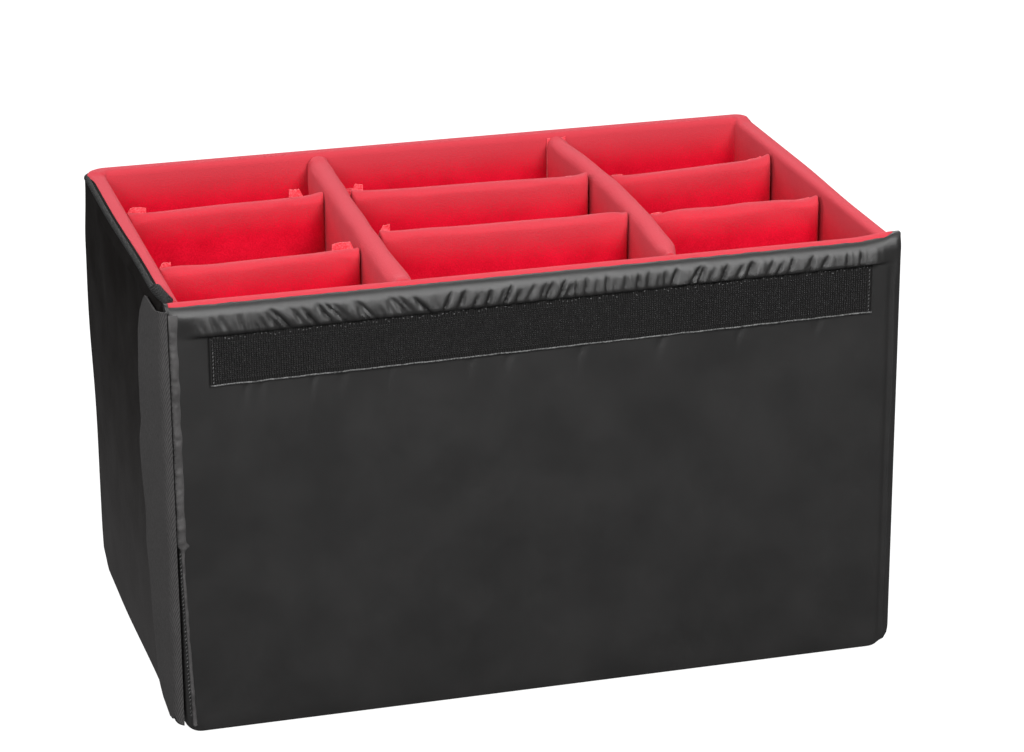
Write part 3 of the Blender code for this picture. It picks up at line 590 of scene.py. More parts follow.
def u_stations():
    """Stations from the left wall's front end, round the back, to the right wall's front end."""
    left_x, right_x = LEFT_FACE_X - PROUD_REAR, RIGHT_FACE_X + PROUD_FRONT
    rear_outer, rear_inner = BACK_FACE - OUTER_CORNER, INSIDE_BACK - INNER_CORNER
    right_rear = BACK_FACE - RIGHT_CORNER
    side_y = side_depths(rear_outer)
    inner_y = SIDE_START + (side_y - SIDE_START) / (rear_outer - SIDE_START) * (rear_inner - SIDE_START)
    outer_x = np.linspace(left_x + OUTER_CORNER, right_x - RIGHT_CORNER, 124)[1:-1]
    inner_x = np.linspace(INSIDE_LEFT + INNER_CORNER, INSIDE_RIGHT - INNER_CORNER, 124)[1:-1]
    outer_line = [(left_x, y) for y in side_y]
    outer_line += corner_arc(left_x + OUTER_CORNER, rear_outer, OUTER_CORNER, 180, 90)[1:]
    outer_line += [(x, BACK_FACE) for x in outer_x]
    outer_line += corner_arc(right_x - RIGHT_CORNER, right_rear, RIGHT_CORNER, 90, 0)[:-1]
    outer_line += [(right_x, y) for y in side_depths(right_rear)[::-1]]
    inner_line = [(INSIDE_LEFT, y) for y in inner_y]
    inner_line += corner_arc(INSIDE_LEFT + INNER_CORNER, rear_inner, INNER_CORNER, 180, 90)[1:]
    inner_line += [(x, INSIDE_BACK) for x in inner_x]
    inner_line += corner_arc(INSIDE_RIGHT - INNER_CORNER, rear_inner, INNER_CORNER, 90, 0)[:-1]
    inner_line += [(INSIDE_RIGHT, y) for y in inner_y[::-1]]
    made, travelled, before = [], 0.0, None
    for (x, y), inner in zip(outer_line, inner_line):
        if x < left_x + 0.001:
            x += (PROUD_REAR - PROUD_FRONT) * (1 - smooth_step((y + 0.09) / 0.16))
        if x > right_x - 0.001:
            x -= 0.0024 * smooth_step((0.03 - y) / 0.12)
        travelled += math.dist((x, y), before) if before else 0
        before = (x, y)
        from_front = y - SIDE_START
        corner = max(0.0, 1 - math.dist((x, y), (math.copysign(right_x, x), BACK_FACE)) / 0.040)
        on_left = smooth_step((-x - 0.235) / 0.025)
        made.append({
            "outer": (x, y),
            "inner": inner,
            "at": travelled,
            "seam": 0.0007 + 0.0045 * on_left * smooth_step((0.165 - y) / 0.03),
            "rise": 0.0016 * smooth_step((y - 0.150) / 0.012),
            "foot": 0.0030 + 0.0085 * smooth_step(corner * 1.6),
            "draw_in": foot_lift(from_front, 0.0045),
            "lift": foot_lift(from_front) if from_front < 0.02 else 0.0040 * smooth_step(corner),
        })
    return made


def wrap_puff(at, height):
    """A slight roll along the top, a soft fold under the left wall's binding and a swell over the rest."""
    along = np.clip((height - TOP + 0.018) / 0.018, 0, 1)
    on_left = smooth_step((LEFT_RUN + 0.02 - at) / 0.03)
    to_rear = smooth_step((at - 0.10) / 0.20) * on_left
    fold = 0.0017 * hump(height - TOP + FOLD_DROP + 0.001 * ripple(at, 0.0, 33, 0.11), 0.0028)
    swell = 0.0006 * ripple(at, height, 31, 0.12) * smooth_step(height / 0.03)
    drape = 0.0004 * ripple(at, 0.12 * height, 34, 0.026) * smooth_step(height / 0.05)
    roll = 0.0009 * np.sin(math.pi * along) ** 0.8 * (1 - to_rear)
    lean_out = 0.0026 * to_rear * smooth_step((height - 0.05) / 0.20)
    lean_out = lean_out * smooth_step((TOP - 0.004 - height) / 0.05)
    uneven = (swell + drape) * smooth_step((TOP - height) / 0.03)
    return roll + fold * on_left * (1 - to_rear) + lean_out + uneven


def wrap_line(at, height):
    return 0.0005 * ripple(at, height, 32, 0.09) * smooth_step((TOP - height) / 0.02)


nylon_rings, lining_rings = sweep_wall(u_stations(), outer_rows(0.2900, 34, 16), wrap_puff, wrap_line)
wrap_nylon = tube_of_rings("wrap_nylon", nylon_rings, SIDE_NYLON_PAINTED_BOUNCE)
wrap_lining = tube_of_rings("wrap_loop_lining", lining_rings, PLUSH)
WALLS = ("back_wall", "left_wall", "right_wall")
covers = [f"{wall}_{kind}" for wall in WALLS for kind in ("cover", "foam")]
padded_pair("wrap", wrap_nylon, covers, wrap_lining, [f"{wall}_lining" for wall in WALLS])
print("wrap", nylon_rings.shape, lining_rings.shape)

# %% [markdown]
# ### The base
# The base is a padded floor between the walls. Its loop cloth swells and dips a little.

# %% Base pad


def box_rings(low, high, radius, rows, columns, swell):
    """A flat pad's rings, with round edges. swell says how uneven its upper face is."""
    rings = []
    for x in np.linspace(low[0], high[0], columns):
        inset = foot_lift(min(x - low[0], high[0] - x), radius)
        front, back = low[1] + inset, high[1] - inset
        y = np.linspace(front + radius, back - radius, rows)
        upper = high[2] + swell * ripple(x, y, 41, 0.07) - inset * 0.5
        ring = [(x, front, low[2] + radius)] + [(x, each, low[2]) for each in y]
        ring += [(x, back, low[2] + radius), (x, back, high[2] - radius)]
        ring += [(x, *place) for place in zip(y[::-1], upper[::-1])]
        rings.append(ring + [(x, front, high[2] - radius)])
    return rings


base_low, base_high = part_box("base_cover")
lining_low, lining_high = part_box("base_lining")
base_top = (base_high.x, base_high.y, lining_low.z)
lining_foot = (lining_low.x, lining_low.y, lining_low.z + CLOTH_GAP)
base_nylon = tube_of_rings("base_nylon", box_rings(base_low, base_top, 0.003, 20, 40, 0.0), NYLON)
pad_rows = box_rings(lining_foot, lining_high, 0.0008, 40, 70, 0.0004)
base_pad = tube_of_rings("base_loop_lining", pad_rows, PLUSH)
padded_pair("wrap", base_nylon, ["base_cover", "base_foam"], base_pad, ["base_lining"])

# %% [markdown]
# ## The dividers
# A divider is a foam board in a red sleeve: flat faces, a pillowy top and soft ends. Its line in plan is read
# from the CAD node. The sleeve is then inflated as cloth for a few frames, which rounds the faces between the
# seams and leaves small uneven folds, and its movement is capped because the board holds it.

# %% A divider's line in plan
COLUMNS = ("left", "middle", "right")
DIVIDERS = [f"{side}_long_divider" for side in ("left", "right")]
DIVIDERS += [f"{column}_{row}_divider" for column in COLUMNS for row in ("front", "rear")]
EAR_LENGTH = 0.020
USUAL_THICKNESS = 0.0135


def middle_of(values):
    return (values.max() + values.min()) / 2


def divider_line(name):
    """Middle, direction, length, thickness, bow and heights of a divider, measured on its CAD cover."""
    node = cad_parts[f"{name}_cover"]
    points = np.array([node.matrix_world @ v.co for v in node.data.vertices])
    heights = points[:, 2]
    lowest = points[heights < heights.min() + 0.0005][:, :2]
    middle = lowest.mean(axis=0)
    run = np.linalg.svd(lowest - middle)[2][0]
    forward = np.array([0.0, -1.0]) if "long" in name else np.array([1.0, 0.0])
    run = run * np.sign(run @ forward)
    side = np.array([-run[1], run[0]])
    along, across = (lowest - middle) @ run, (lowest - middle) @ side
    half = (along.max() - along.min()) / 2
    end_across = middle_of(across[np.abs(along) > half - 0.0005])
    centre = across[np.abs(along) < 0.25 * along.max()]
    all_along = (points[:, :2] - middle) @ run
    marks = []
    for window in ((all_along < -0.2 * half), (all_along > -0.2 * half) & (all_along < half - EAR_LENGTH)):
        best = heights[window].argmax()
        marks.append((all_along[window][best], heights[window][best]))
    slope = (marks[1][1] - marks[0][1]) / (marks[1][0] - marks[0][0])
    flat_top = marks[0][1] - slope * marks[0][0]
    return {
        "slope": slope,
        "ears": (0.0006, max(0.0, heights.max() - flat_top - slope * half)),
        "middle": middle + run * middle_of(along) + side * end_across,
        "run": run,
        "side": side,
        "length": 2 * half,
        "thickness": centre.max() - centre.min() if centre.size else USUAL_THICKNESS,
        "bow": middle_of(centre) - end_across if centre.size else 0.0,
        "low": heights.min(),
        "top": flat_top,
    }


LINES = {name: divider_line(name) for name in DIVIDERS}
for name, line in LINES.items():
    print(name, {key: np.round(value, 4).tolist() for key, value in line.items()})


def crest_at(line, x):
    """The height of a divider's top at this place along it, with the ear that its end seam pulls up."""
    to_end = max(0.0, (abs(x) - line["length"] / 2 + EAR_LENGTH) / EAR_LENGTH)
    ears = line["ears"][int(x > 0)] * to_end**2
    dome = 0.0010 * (1 - (2 * x / line["length"]) ** 2) - 0.0005
    return line["top"] + line["slope"] * x + ears + dome


# %% A divider's sleeve
TOP_ROUND = 0.0070
PAD_STEP = 0.0095
LONG_REACH = 0.0010
END_EARS = {"middle_rear_divider": 0.0014, "left_rear_divider": 0.0012}
END_REACH = {"middle_front_divider": 0.0014, "left_rear_divider": 0.0011, "left_front_divider": 0.0005}
END_PLACES = np.array([0.0, 0.0012, 0.0032, 0.0065, 0.0110])
PINCHED = np.array([0.66, 0.84, 0.94, 0.99, 1.0])
BLUNT = np.array([0.93, 0.98, 1.0, 1.0, 1.0])


def pad_rings(line, seed, name):
    """Rings of a divider's sleeve in its own frame: x along it, y across it, z up."""
    blunt, drawn = name == "left_long_divider", name == "right_long_divider"
    low, top, half_thick = line["low"], line["top"], line["thickness"] / 2
    half = line["length"] / 2 + (LONG_REACH if blunt else 0.0)
    thin = BLUNT if blunt else PINCHED
    inner_half = half - END_PLACES[-1]
    middle = np.linspace(-inner_half, inner_half, max(4, int(2 * inner_half / PAD_STEP)) + 1)[1:-1]
    xs = np.concatenate([-half + END_PLACES, middle, (half - END_PLACES)[::-1]])
    thins = np.concatenate([thin, np.ones(len(middle)), thin[::-1]])
    rows = max(6, int((top - low) / PAD_STEP))
    crest = np.radians([20, 42, 62, 80])
    side_z = np.linspace(low + 0.004, top - TOP_ROUND, rows)
    heights = np.concatenate([[low, low + 0.0015], side_z, top - TOP_ROUND * (1 - np.sin(crest))])
    above = smooth_step((heights - top + 0.035) / 0.035)
    widths = np.concatenate([[0.72, 0.90], np.ones(rows), np.cos(crest) ** 0.8])
    rings = []
    for x, thinning in zip(xs, thins):
        middle_y = line["bow"] * (1 - (x / half) ** 2)
        if drawn:
            to_rear = smooth_step((x - half + 0.034) / 0.034)
            thinning = thinning * (1 - 0.50 * to_rear)
            middle_y = middle_y - 0.30 * half_thick * to_rear
        half_width = half_thick * thinning * widths + 0.0002 * ripple(x, heights, seed, 0.05)
        lifted = crest_at(line, x) - top + 0.00025 * ripple(x, 0.0, seed + 5, 0.09)
        lifted += END_EARS.get(name, 0.0) * smooth_step((x - half + 0.016) / 0.014)
        z = heights + lifted * above
        out = np.full_like(z, x + END_REACH.get(name, 0.0) * smooth_step((x - half + 0.02) / 0.02))
        far_side = np.column_stack([out, middle_y + half_width, z])
        rings.append(np.concatenate([np.column_stack([out, middle_y - half_width, z]), far_side[::-1]]))
    return rings


def inflate(piece, cap, frames=20):
    """Runs a short cloth simulation on the piece, then keeps its movement within the cap."""
    before = np.array([v.co for v in piece.data.vertices])
    inside = before - before.min(axis=0)
    ends = np.minimum(inside[:, 0], inside[:, 0].max() - inside[:, 0]) < 0.002
    held = piece.vertex_groups.new(name="sewn")
    held.add(np.nonzero(ends | (inside[:, 2] < 0.003))[0].tolist(), 1.0, "REPLACE")
    cloth = piece.modifiers.new("cloth", "CLOTH")
    settings = cloth.settings
    settings.use_pressure = True
    settings.uniform_pressure_force = 4.0
    settings.effector_weights.gravity = 0.0
    settings.vertex_group_mass = "sewn"
    settings.tension_stiffness = 12
    settings.compression_stiffness = 8
    settings.bending_stiffness = 0.6
    settings.shrink_min = -0.02
    for number in range(1, frames + 1):
        bpy.context.scene.frame_set(number)
    graph = bpy.context.evaluated_depsgraph_get()
    after = np.array([v.co for v in piece.evaluated_get(graph).data.vertices])
    piece.modifiers.remove(cloth)
    bpy.context.scene.frame_set(1)
    move = after - before
    size = np.linalg.norm(move, axis=1, keepdims=True)
    move = np.where(np.isfinite(move), move, 0) * np.minimum(1, cap / np.maximum(size, 1e-9))
    for vert, point in zip(piece.data.vertices, before + move):
        vert.co = point
    return float(np.linalg.norm(move, axis=1).max())


def place_of(line):
    """The matrix from a divider's own frame to the set's."""
    run, side, middle = line["run"], line["side"], line["middle"]
    rows = [(run[axis], side[axis], 0, middle[axis]) for axis in (0, 1)]
    return Matrix((*rows, (0, 0, 1, 0), (0, 0, 0, 1)))


PADS = {}
for number, name in enumerate(DIVIDERS):
    line = LINES[name]
    pad = tube_of_rings(f"{name}_pad", pad_rings(line, 50 + number, name), PLUSH, paired_caps=True)
    moved = inflate(pad, 0.0011)
    pad.data.transform(place_of(line))
    smoother = pad.modifiers.new("subdivision", "SUBSURF")
    smoother.levels = smoother.render_levels = 1
    dress(pad, name, "red_loop_lining", f"{name}_cover", f"{name}_foam")
    PADS[name] = pad
    print(name, "pad moved", round(moved * 1000, 2), "mm")

# %% [markdown]
# ## Hook tabs
# Each divider's end has a tab of hook tape: one leg sewn along the sleeve, the other pressed on the loop
# cloth of its neighbour. It is a flat strip, so it is made straight away as a bent ribbon, not simulated.

# %% Bent ribbons
TAB_THICK = 0.0012
TAB_FOOT = 0.030
END_GAP = 0.0024
HOOK_LEG = 0.020
HOOK_POINTS = 7


def ribbon_mesh(name, path, low, tops, rows, edge_wave, seed):
    """An upright red ribbon along a path in plan. tops gives its upper edge's height at each path point."""
    path, tops = np.array(path, float), np.array(tops, float)
    steps = np.gradient(path, axis=0)
    normal = np.column_stack([-steps[:, 1], steps[:, 0]])
    normal /= np.linalg.norm(normal, axis=1, keepdims=True)
    lengths = np.linalg.norm(np.diff(path, axis=0), axis=1)
    rings = []
    for point, side, top, travelled in zip(path, normal, tops, np.append(0, np.cumsum(lengths))):
        z = np.linspace(low, top + edge_wave * ripple(travelled, 0.0, seed, 0.006), rows)
        thin = TAB_THICK / 2 * np.where((z == z[0]) | (z == z[-1]), 0.45, 1.0)[:, None]
        inner = np.column_stack([point - side * thin, z])
        rings.append(np.concatenate([np.column_stack([point + side * thin, z]), inner[::-1]]))
    piece = tube_of_rings(name, rings, HOOK_RED, paired_caps=True)
    return piece, float((lengths * ((tops[1:] + tops[:-1]) / 2 - low)).sum())


def tab_path(line, end, neighbour_run, sewn_length):
    """The tab's line in the divider's frame, sewn leg first, with a small round bend at the corner."""
    half = line["length"] / 2
    off = line["thickness"] / 2 * 0.96 + TAB_THICK / 2 + CLOTH_GAP
    reach = half + END_GAP - TAB_THICK / 2 - CLOTH_GAP
    lean = neighbour_run[0] / neighbour_run[1]
    sewn = [
        (end * (half - back), off + line["bow"] * (1 - ((half - back) / half) ** 2))
        for back in np.linspace(sewn_length, 0.004, 6)
    ]
    bend = [(end * (half - 0.001), off * 0.90 + 0.0004), (end * (reach - 0.0008), off * 0.92 + 0.0008)]
    hook = [(end * reach + lean * y, y) for y in np.linspace(off + 0.0022, off + HOOK_LEG, HOOK_POINTS)]
    return sewn + bend + hook


def pressed_face(name, end):
    """The direction in plan of the face that this end's tab presses on. A long divider's board bends."""
    if "long" in name:
        return np.array([1.0, 0.0])
    column = COLUMNS.index(name.split("_")[0]) + (0 if end < 0 else 1)
    if column in (0, len(COLUMNS)):
        return np.array([0.0, 1.0])
    line, board = LINES[name], LINES[DIVIDERS[column - 1]]
    y = line["middle"][1] + line["run"][1] * end * line["length"] / 2 + 0.012
    x = (y - board["middle"][1]) / board["run"][1]
    return board["run"] - board["side"] * 8 * board["bow"] * x / board["length"] ** 2


TAB_FORMS = {
    # sewn leg's rise over the divider's top, then its length; first tab, second tab
    "left_front_divider": ((0.0014, 0.010), (0.0028, 0.018)),
    "left_rear_divider": ((0.0014, 0.016), (0.0032, 0.024)),
    "middle_front_divider": ((0.0018, 0.009), (-0.0030, 0.016)),
    "middle_rear_divider": ((0.0020, 0.010), (-0.0030, 0.016)),
    "right_front_divider": ((-0.0022, 0.012), (-0.0030, 0.016)),
    "right_rear_divider": ((-0.0022, 0.012), (-0.0030, 0.016)),
    "left_long_divider": ((-0.0180, 0.018), (-0.0120, 0.018)),
    "right_long_divider": ((-0.0180, 0.018), (-0.0120, 0.018)),
}
for number, name in enumerate(DIVIDERS):
    line = LINES[name]
    for label, end, (rise, sewn) in zip(("first", "second"), (-1, 1), TAB_FORMS[name]):
        face = pressed_face(name, end)
        local = np.array([face @ line["run"], face @ line["side"]])
        path = tab_path(line, end, local * np.sign(local[1]), sewn)
        high = [crest_at(line, x) for x, _ in path[:6]]
        corner = high[-1] + min(rise, 0)
        outer_rise = -0.0045 if sewn > 0.020 else rise
        tops = [top + rise for top in high[:3]] + [top + outer_rise for top in high[3:]]
        tops += [corner - 0.004, corner - 0.009] + [corner - 0.011] * HOOK_POINTS
        seed = 70 + 2 * number + end
        tab, area = ribbon_mesh(f"{name}_{label}_hook", path, TAB_FOOT, tops, 40, 0.0005, seed)
        tab.data.transform(place_of(line))
        dress(tab, name, "red_hook_tab", f"{name}_{label}_tab")
        height = max(tops) - TAB_FOOT

# %% [markdown]
# The right long divider's rear tab is folded across the sleeve's end before it turns, so a flat end of tape
# stands up behind the pad, just under the top of the back wall.

# %% End fold of the right long divider
FOLD_FOOT = 0.20
line, pad = LINES["right_long_divider"], PADS["right_long_divider"]
reach = line["length"] / 2 + 0.0018
path = [(-reach, y) for y in np.linspace(-line["thickness"] * 0.42, line["thickness"] * 0.52, 8)]
tops = [TOP - 0.0020] * 7 + [TOP - 0.0012]
fold, area = ribbon_mesh("right_long_end_fold", path, FOLD_FOOT, tops, 16, 0.0003, 90)
fold.data.transform(place_of(line))
dress(fold, "right_long_divider", "red_hook_tab")

# %% [markdown]
# ## The hook strip on the front
# The strip is a woven tape with rows of small hooks, a pale selvage along its lower edge and short loose
# stitches along its upper one. It was sewn slightly out of level, so it climbs a little to the right.

# %% Strip, selvage and hooks
STRIP_BACK = FRONT_FACE - 0.0002
STRIP_FRONT = STRIP_BACK - 0.0013
# share of the strip's height, share of its thickness
STRIP_SECTION = [(0, 0.25), (0, 0.85), (0.03, 1), (0.10, 0.92), (0.90, 0.92), (0.97, 1), (1, 0.85), (1, 0.25)]
HOOK_SHAPE = np.array(
    [(-0.00028, 0, 0), (0.00028, 0, 0), (0, 0, 0.0004), (0, -0.0011, 0.00012), (0.0001, -0.0010, -0.0004)]
)
HOOK_FACES = np.array([[0, 1, 3], [1, 2, 3], [2, 0, 3], [0, 1, 4], [1, 3, 4], [3, 0, 4]])


def on_strip(x, share):
    """A point on the strip's front at this share of its height."""
    height = STRIP_BOTTOM + (STRIP_TOP - STRIP_BOTTOM) * share + (x - strip_middle) * STRIP_TILT
    return np.array([x, STRIP_FRONT, height])


rings = []
for x in np.linspace(strip_low.x, strip_high.x, 160):
    wave = 0.0003 * ripple(x, 0.0, 81, 0.05)
    lift = [(0, (STRIP_BACK - STRIP_FRONT) * (1 - out), wave * (share - 0.5)) for share, out in STRIP_SECTION]
    rings.append([on_strip(x, share) + shift for (share, _), shift in zip(STRIP_SECTION, lift)])
strip = tube_of_rings("front_hook_strip_tape", rings, TAPE_BLACK)
dress(strip, "front_wall", "hook_tape", "front_hook_strip")

hook_dice = np.random.default_rng(5)
hooks = []
for x in np.arange(strip_low.x + 0.0040, strip_high.x - 0.0040, 0.00175):
    for share in np.linspace(0.13, 0.87, 19):
        jitter = hook_dice.uniform(-0.00022, 0.00022, 3) * (1, 0, 1)
        hooks.append(on_strip(x, share) + jitter + HOOK_SHAPE * hook_dice.uniform(0.75, 1.25))
faces = (np.arange(len(hooks))[:, None, None] * len(HOOK_SHAPE) + HOOK_FACES).reshape(-1, 3).tolist()
dress(link_mesh("front_strip_hooks", np.concatenate(hooks), faces, HOOKS, 20), "front_wall", "hook_tape")
print("hooks", len(hooks))

# %% Stitches
# share of the thread's length, share of its radius
STITCH_RINGS = [(-0.5, 0.25), (-0.38, 0.85), (-0.1, 1.0), (0.1, 1.0), (0.38, 0.85), (0.5, 0.25)]
STITCH_FACES = ring_faces(6, 5) + [list(range(5)), list(range(25, 30))]


def stitches(name, pairs, out, radius, material, slot):
    """Short threads, one between each pair of points, which bulge outwards and dip into the cloth."""
    points, faces = [], []
    out = np.array(out, float)
    for start, end in np.array(pairs):
        length = np.linalg.norm(end - start)
        along = (end - start) / length
        side = np.cross(along, out)
        side /= np.linalg.norm(side)
        faces += [[len(points) + index for index in face] for face in STITCH_FACES]
        for where, fat in STITCH_RINGS:
            middle = (start + end) / 2 + along * where * length + out * radius * (0.8 * fat - 0.5)
            points += [middle + (side * cos + out * sin) * radius * fat for cos, sin in circle(5)]
    dress(link_mesh(name, points, faces, material, 60), "front_wall", slot)


pairs = []
x = strip_low.x + 0.001
while x < strip_high.x - 0.003:
    rise = hook_dice.uniform(0.93, 0.985)
    reach = hook_dice.uniform(0.0008, 0.0016)
    if hook_dice.uniform() > 0.2:
        far = on_strip(x, rise + hook_dice.uniform(-0.025, 0.02)) + (reach, 0, 0)
        pairs.append((on_strip(x, rise), far))
    x += hook_dice.uniform(0.0022, 0.0036)
for x in (strip_low.x + 0.0022, strip_high.x - 0.0030):
    for share in np.arange(0.05, 0.93, 0.075):
        pairs.append((on_strip(x, share), on_strip(x, share + 0.05) + (0.0006, 0, 0)))
stitches("front_strip_stitching", pairs, (0, -1, 0), 0.00036, THREAD, "hook_tape")

# %% Selvage along the strip's lower edge
rings = []
for x in np.linspace(strip_low.x + 0.0002, strip_high.x - 0.0002, 200):
    middle = on_strip(x, 0.018) + (0, -0.0001, 0.0002 * ripple(x, 0.0, 82, 0.02))
    rings.append([middle + (0, 0.0005 * sin, 0.0006 * cos) for cos, sin in circle(8)])
dress(tube_of_rings("front_strip_selvage", rings, THREAD), "front_wall", "hook_tape")

# %% [markdown]
# ## The front left corner
# A gathered hem runs down the front wall's left end. It is the black nylon's rounded edge, and its light
# grey is a painted highlight. The flap of brushed loop cloth is sewn under it and wraps round the corner on
# to hook tape on the left wall.

# %% Hem
HEM_LEFT, HEM_RIGHT = -0.2683, -0.2621
HEM_FOOT, HEM_HEAD = 0.006, 0.3190
KNOT_HEIGHT = 0.1445
STITCH_PITCH = 0.0052


def hem_span(z):
    """The hem's left and right edges at this height: full above its knot, a thin slanting fold below it."""
    share = smooth_step((z - KNOT_HEIGHT + 0.0010) / 0.0030)
    down = max(0.0, (KNOT_HEIGHT - z) / KNOT_HEIGHT)
    right = HEM_RIGHT + 0.0005 * ripple(z, 0.0, 91, 0.016)
    thin_left = -0.2662 + 0.0036 * down**1.2
    thin_right = -0.2637 + 0.0044 * down**1.3 + 0.0003 * ripple(z, 0.0, 92, 0.02)
    bulge = 0.0024 * hump(z - KNOT_HEIGHT - 0.0012, 0.0022)
    return HEM_LEFT * share + thin_left * (1 - share), right * share + thin_right * (1 - share) + bulge


rings = []
for z in np.linspace(HEM_FOOT, HEM_HEAD, 250):
    left, right = hem_span(z)
    full = 0.45 + 0.55 * min(1.0, (right - left) / 0.006)
    top_fade = 0.10 + 0.90 * smooth_step((HEM_HEAD + 0.0010 - z) / 0.020)
    tick = 0.0006 * max(0.0, math.sin(z * TURN / STITCH_PITCH)) ** 3 * (z > KNOT_HEIGHT)
    puff = (0.0017 + 0.0004 * ripple(z, 0.0, 93, 0.008)) * full * top_fade
    ring = []
    for share in np.linspace(0, 1, 13):
        x = left + (right - left) * share
        under = max(0.0, front_puff(x, z))
        raised = puff * math.sin(math.pi * share**0.85) ** 0.7 - tick * hump(share - 0.12, 0.16)
        ring.append((x, FRONT_FACE - 0.0002 - under - raised, z))
    ring += [(left + (right - left) * share, FRONT_FACE + 0.0012, z) for share in np.linspace(1, 0, 13)[1:-1]]
    rings.append(ring)
# The hem band's light grey is a painted highlight on the nylon's rounded edge.
dress(tube_of_rings("front_hem_band", rings, HEM_PAINTED_HIGHLIGHT), "front_wall", "grey_hem", "front_wall_hem")

# %% Flap
FLAP_THICK = 0.0013
FLAP_FRONT_Y = FRONT_FACE - 0.0010
FLAP_SIDE_X = -0.2748
FLAP_TURN = 0.0052
FRONT_RUN = 0.0006
FLAP_HEAD = FRONT_RUN + FLAP_TURN * math.pi / 2
TURN_X, TURN_Y = FLAP_SIDE_X + FLAP_TURN, FLAP_FRONT_Y + FLAP_TURN
REAR_EDGE = [
    # height, how far back the flap reaches there
    (0.006, -0.1500), (0.009, -0.1205), (0.018, -0.1047), (0.047, -0.0928), (0.089, -0.0867),
    (0.115, -0.0775), (0.140, -0.0790), (0.162, -0.0725), (0.192, -0.0713), (0.209, -0.0775),
    (0.223, -0.0733), (0.256, -0.0794), (0.280, -0.0836), (0.299, -0.0946), (0.3116, -0.1102),
    (0.3190, -0.1220),
]


def flap_point(travelled):
    """A place in plan on the flap's middle line, and which way is outwards there."""
    if travelled <= FRONT_RUN:
        return (TURN_X + FRONT_RUN - travelled, FLAP_FRONT_Y), (0.0, -1.0)
    if travelled <= FLAP_HEAD:
        angle = (travelled - FRONT_RUN) / FLAP_TURN
        out = (-math.sin(angle), -math.cos(angle))
        return (TURN_X + out[0] * FLAP_TURN, TURN_Y + out[1] * FLAP_TURN), out
    return (FLAP_SIDE_X, TURN_Y + travelled - FLAP_HEAD), (-1.0, 0.0)


heights, rear = np.array(REAR_EDGE).T
rows_z = np.linspace(heights[0], heights[-1], 110)
totals = FLAP_HEAD + np.interp(rows_z, heights, rear) - TURN_Y
rings = []
for z, total in zip(rows_z, totals):
    row_out, row_in = [], []
    for share in np.linspace(0, 1, 44):
        travelled = total * share
        (px, py), (ox, oy) = flap_point(travelled)
        lift = 0.0004 * ripple(travelled, z, 95, 0.05) + 0.0006 * smooth_step((share - 0.93) / 0.07)
        sag = 0.010 * foot_lift(abs(travelled - FLAP_HEAD), 0.020) / 0.020 * (1 - z / rows_z[-1]) ** 8
        sag += 0.0030 * smooth_step((0.020 - travelled) / 0.014) * (z / rows_z[-1]) ** 30
        thick = FLAP_THICK * (0.5 if share in (0.0, 1.0) else 1.0) / 2
        row_out.append((px + ox * (lift + thick), py + oy * (lift + thick), z + sag))
        row_in.append((px + ox * (lift - thick), py + oy * (lift - thick), z + sag))
    rings.append(row_out + row_in[::-1])
flap = tube_of_rings("corner_flap", rings, FLAP_GREY, paired_caps=True)
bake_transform(flap)
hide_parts("closure_flap")

# %% Flap and hem stitching
STITCH_LINE = -0.2688
pairs = []
for z in np.arange(KNOT_HEIGHT + 0.004, 0.300, STITCH_PITCH):
    start = STITCH_LINE + 0.0002 * ripple(z, 0.0, 96, 0.03)
    pairs.append(((start, FRONT_FACE - 0.0012, z), (start + 0.0017, FRONT_FACE - 0.0016, z + 0.0003)))
stitches("hem_stitching", pairs, (-0.2, -0.98, 0), 0.00026, BLACK_THREAD, "grey_hem")
pairs = []
for z in np.arange(0.014, KNOT_HEIGHT - 0.004, 0.0030):
    start = STITCH_LINE + 0.0012 + 0.0042 * ((KNOT_HEIGHT - z) / KNOT_HEIGHT) ** 1.3 * 0.8
    pairs.append(((start, FRONT_FACE - 0.0010, z), (start + 0.0014, FRONT_FACE - 0.0010, z + 0.0016)))
stitches("lower_seam_stitching", pairs, (0, -1, 0), 0.00032, THREAD, "grey_hem")

# %% [markdown]
# ## Tape on the left wall, binding end and corner seam
# Under the flap lies the tape that it hooks on to. The wall's top binding ends in a short bar of dense
# stitching beside the corner, and the front right corner is a corded seam that the front wall swings on.

# %% Tape under the flap
tape_low, tape_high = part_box("closure_hook_tape")
tape_out = LEFT_FACE_X - PROUD_FRONT - 0.0013
tape_in = tape_out + 0.0015
tape_y = np.linspace(tape_low.y, tape_high.y, 14)
tape_depth = np.array([0.6] + [1.0] * 12 + [0.6])
rings = []
for z in np.linspace(tape_low.z, tape_high.z, 80):
    edge = 0.3 if z in (tape_low.z, tape_high.z) else 1.0
    ring = [(tape_in + (tape_out - tape_in) * edge * share, y, z) for y, share in zip(tape_y, tape_depth)]
    rings.append(ring + [(tape_in, y, z) for y in tape_y[::-1]])
side_tape = tube_of_rings("left_wall_hook_tape", rings, TAPE_BLACK, paired_caps=True)
dress(side_tape, "wrap", "hook_tape", "closure_hook_tape")

# %% Binding end
BAR_REAR, BAR_FRONT = -0.1235, -0.1590
BINDING_INSET = 0.0014
BINDING_FLATTEN = 0.85


def binding_centre(y):
    """Where the binding's middle is, and how much of a bar it is, at this place along the left wall."""
    proud = PROUD_FRONT + (PROUD_REAR - PROUD_FRONT) * smooth_step((y + 0.09) / 0.16)
    on_bar = smooth_step((BAR_REAR + 0.003 - y) / 0.006)
    turned_in = 0.0036 * max(0.0, (BAR_REAR - y) / (BAR_REAR - BAR_FRONT)) ** 1.5
    x = LEFT_FACE_X - proud + BINDING_INSET + 0.0016 * on_bar + turned_in
    return x, TOP - 0.0014 + 0.0012 * on_bar, on_bar


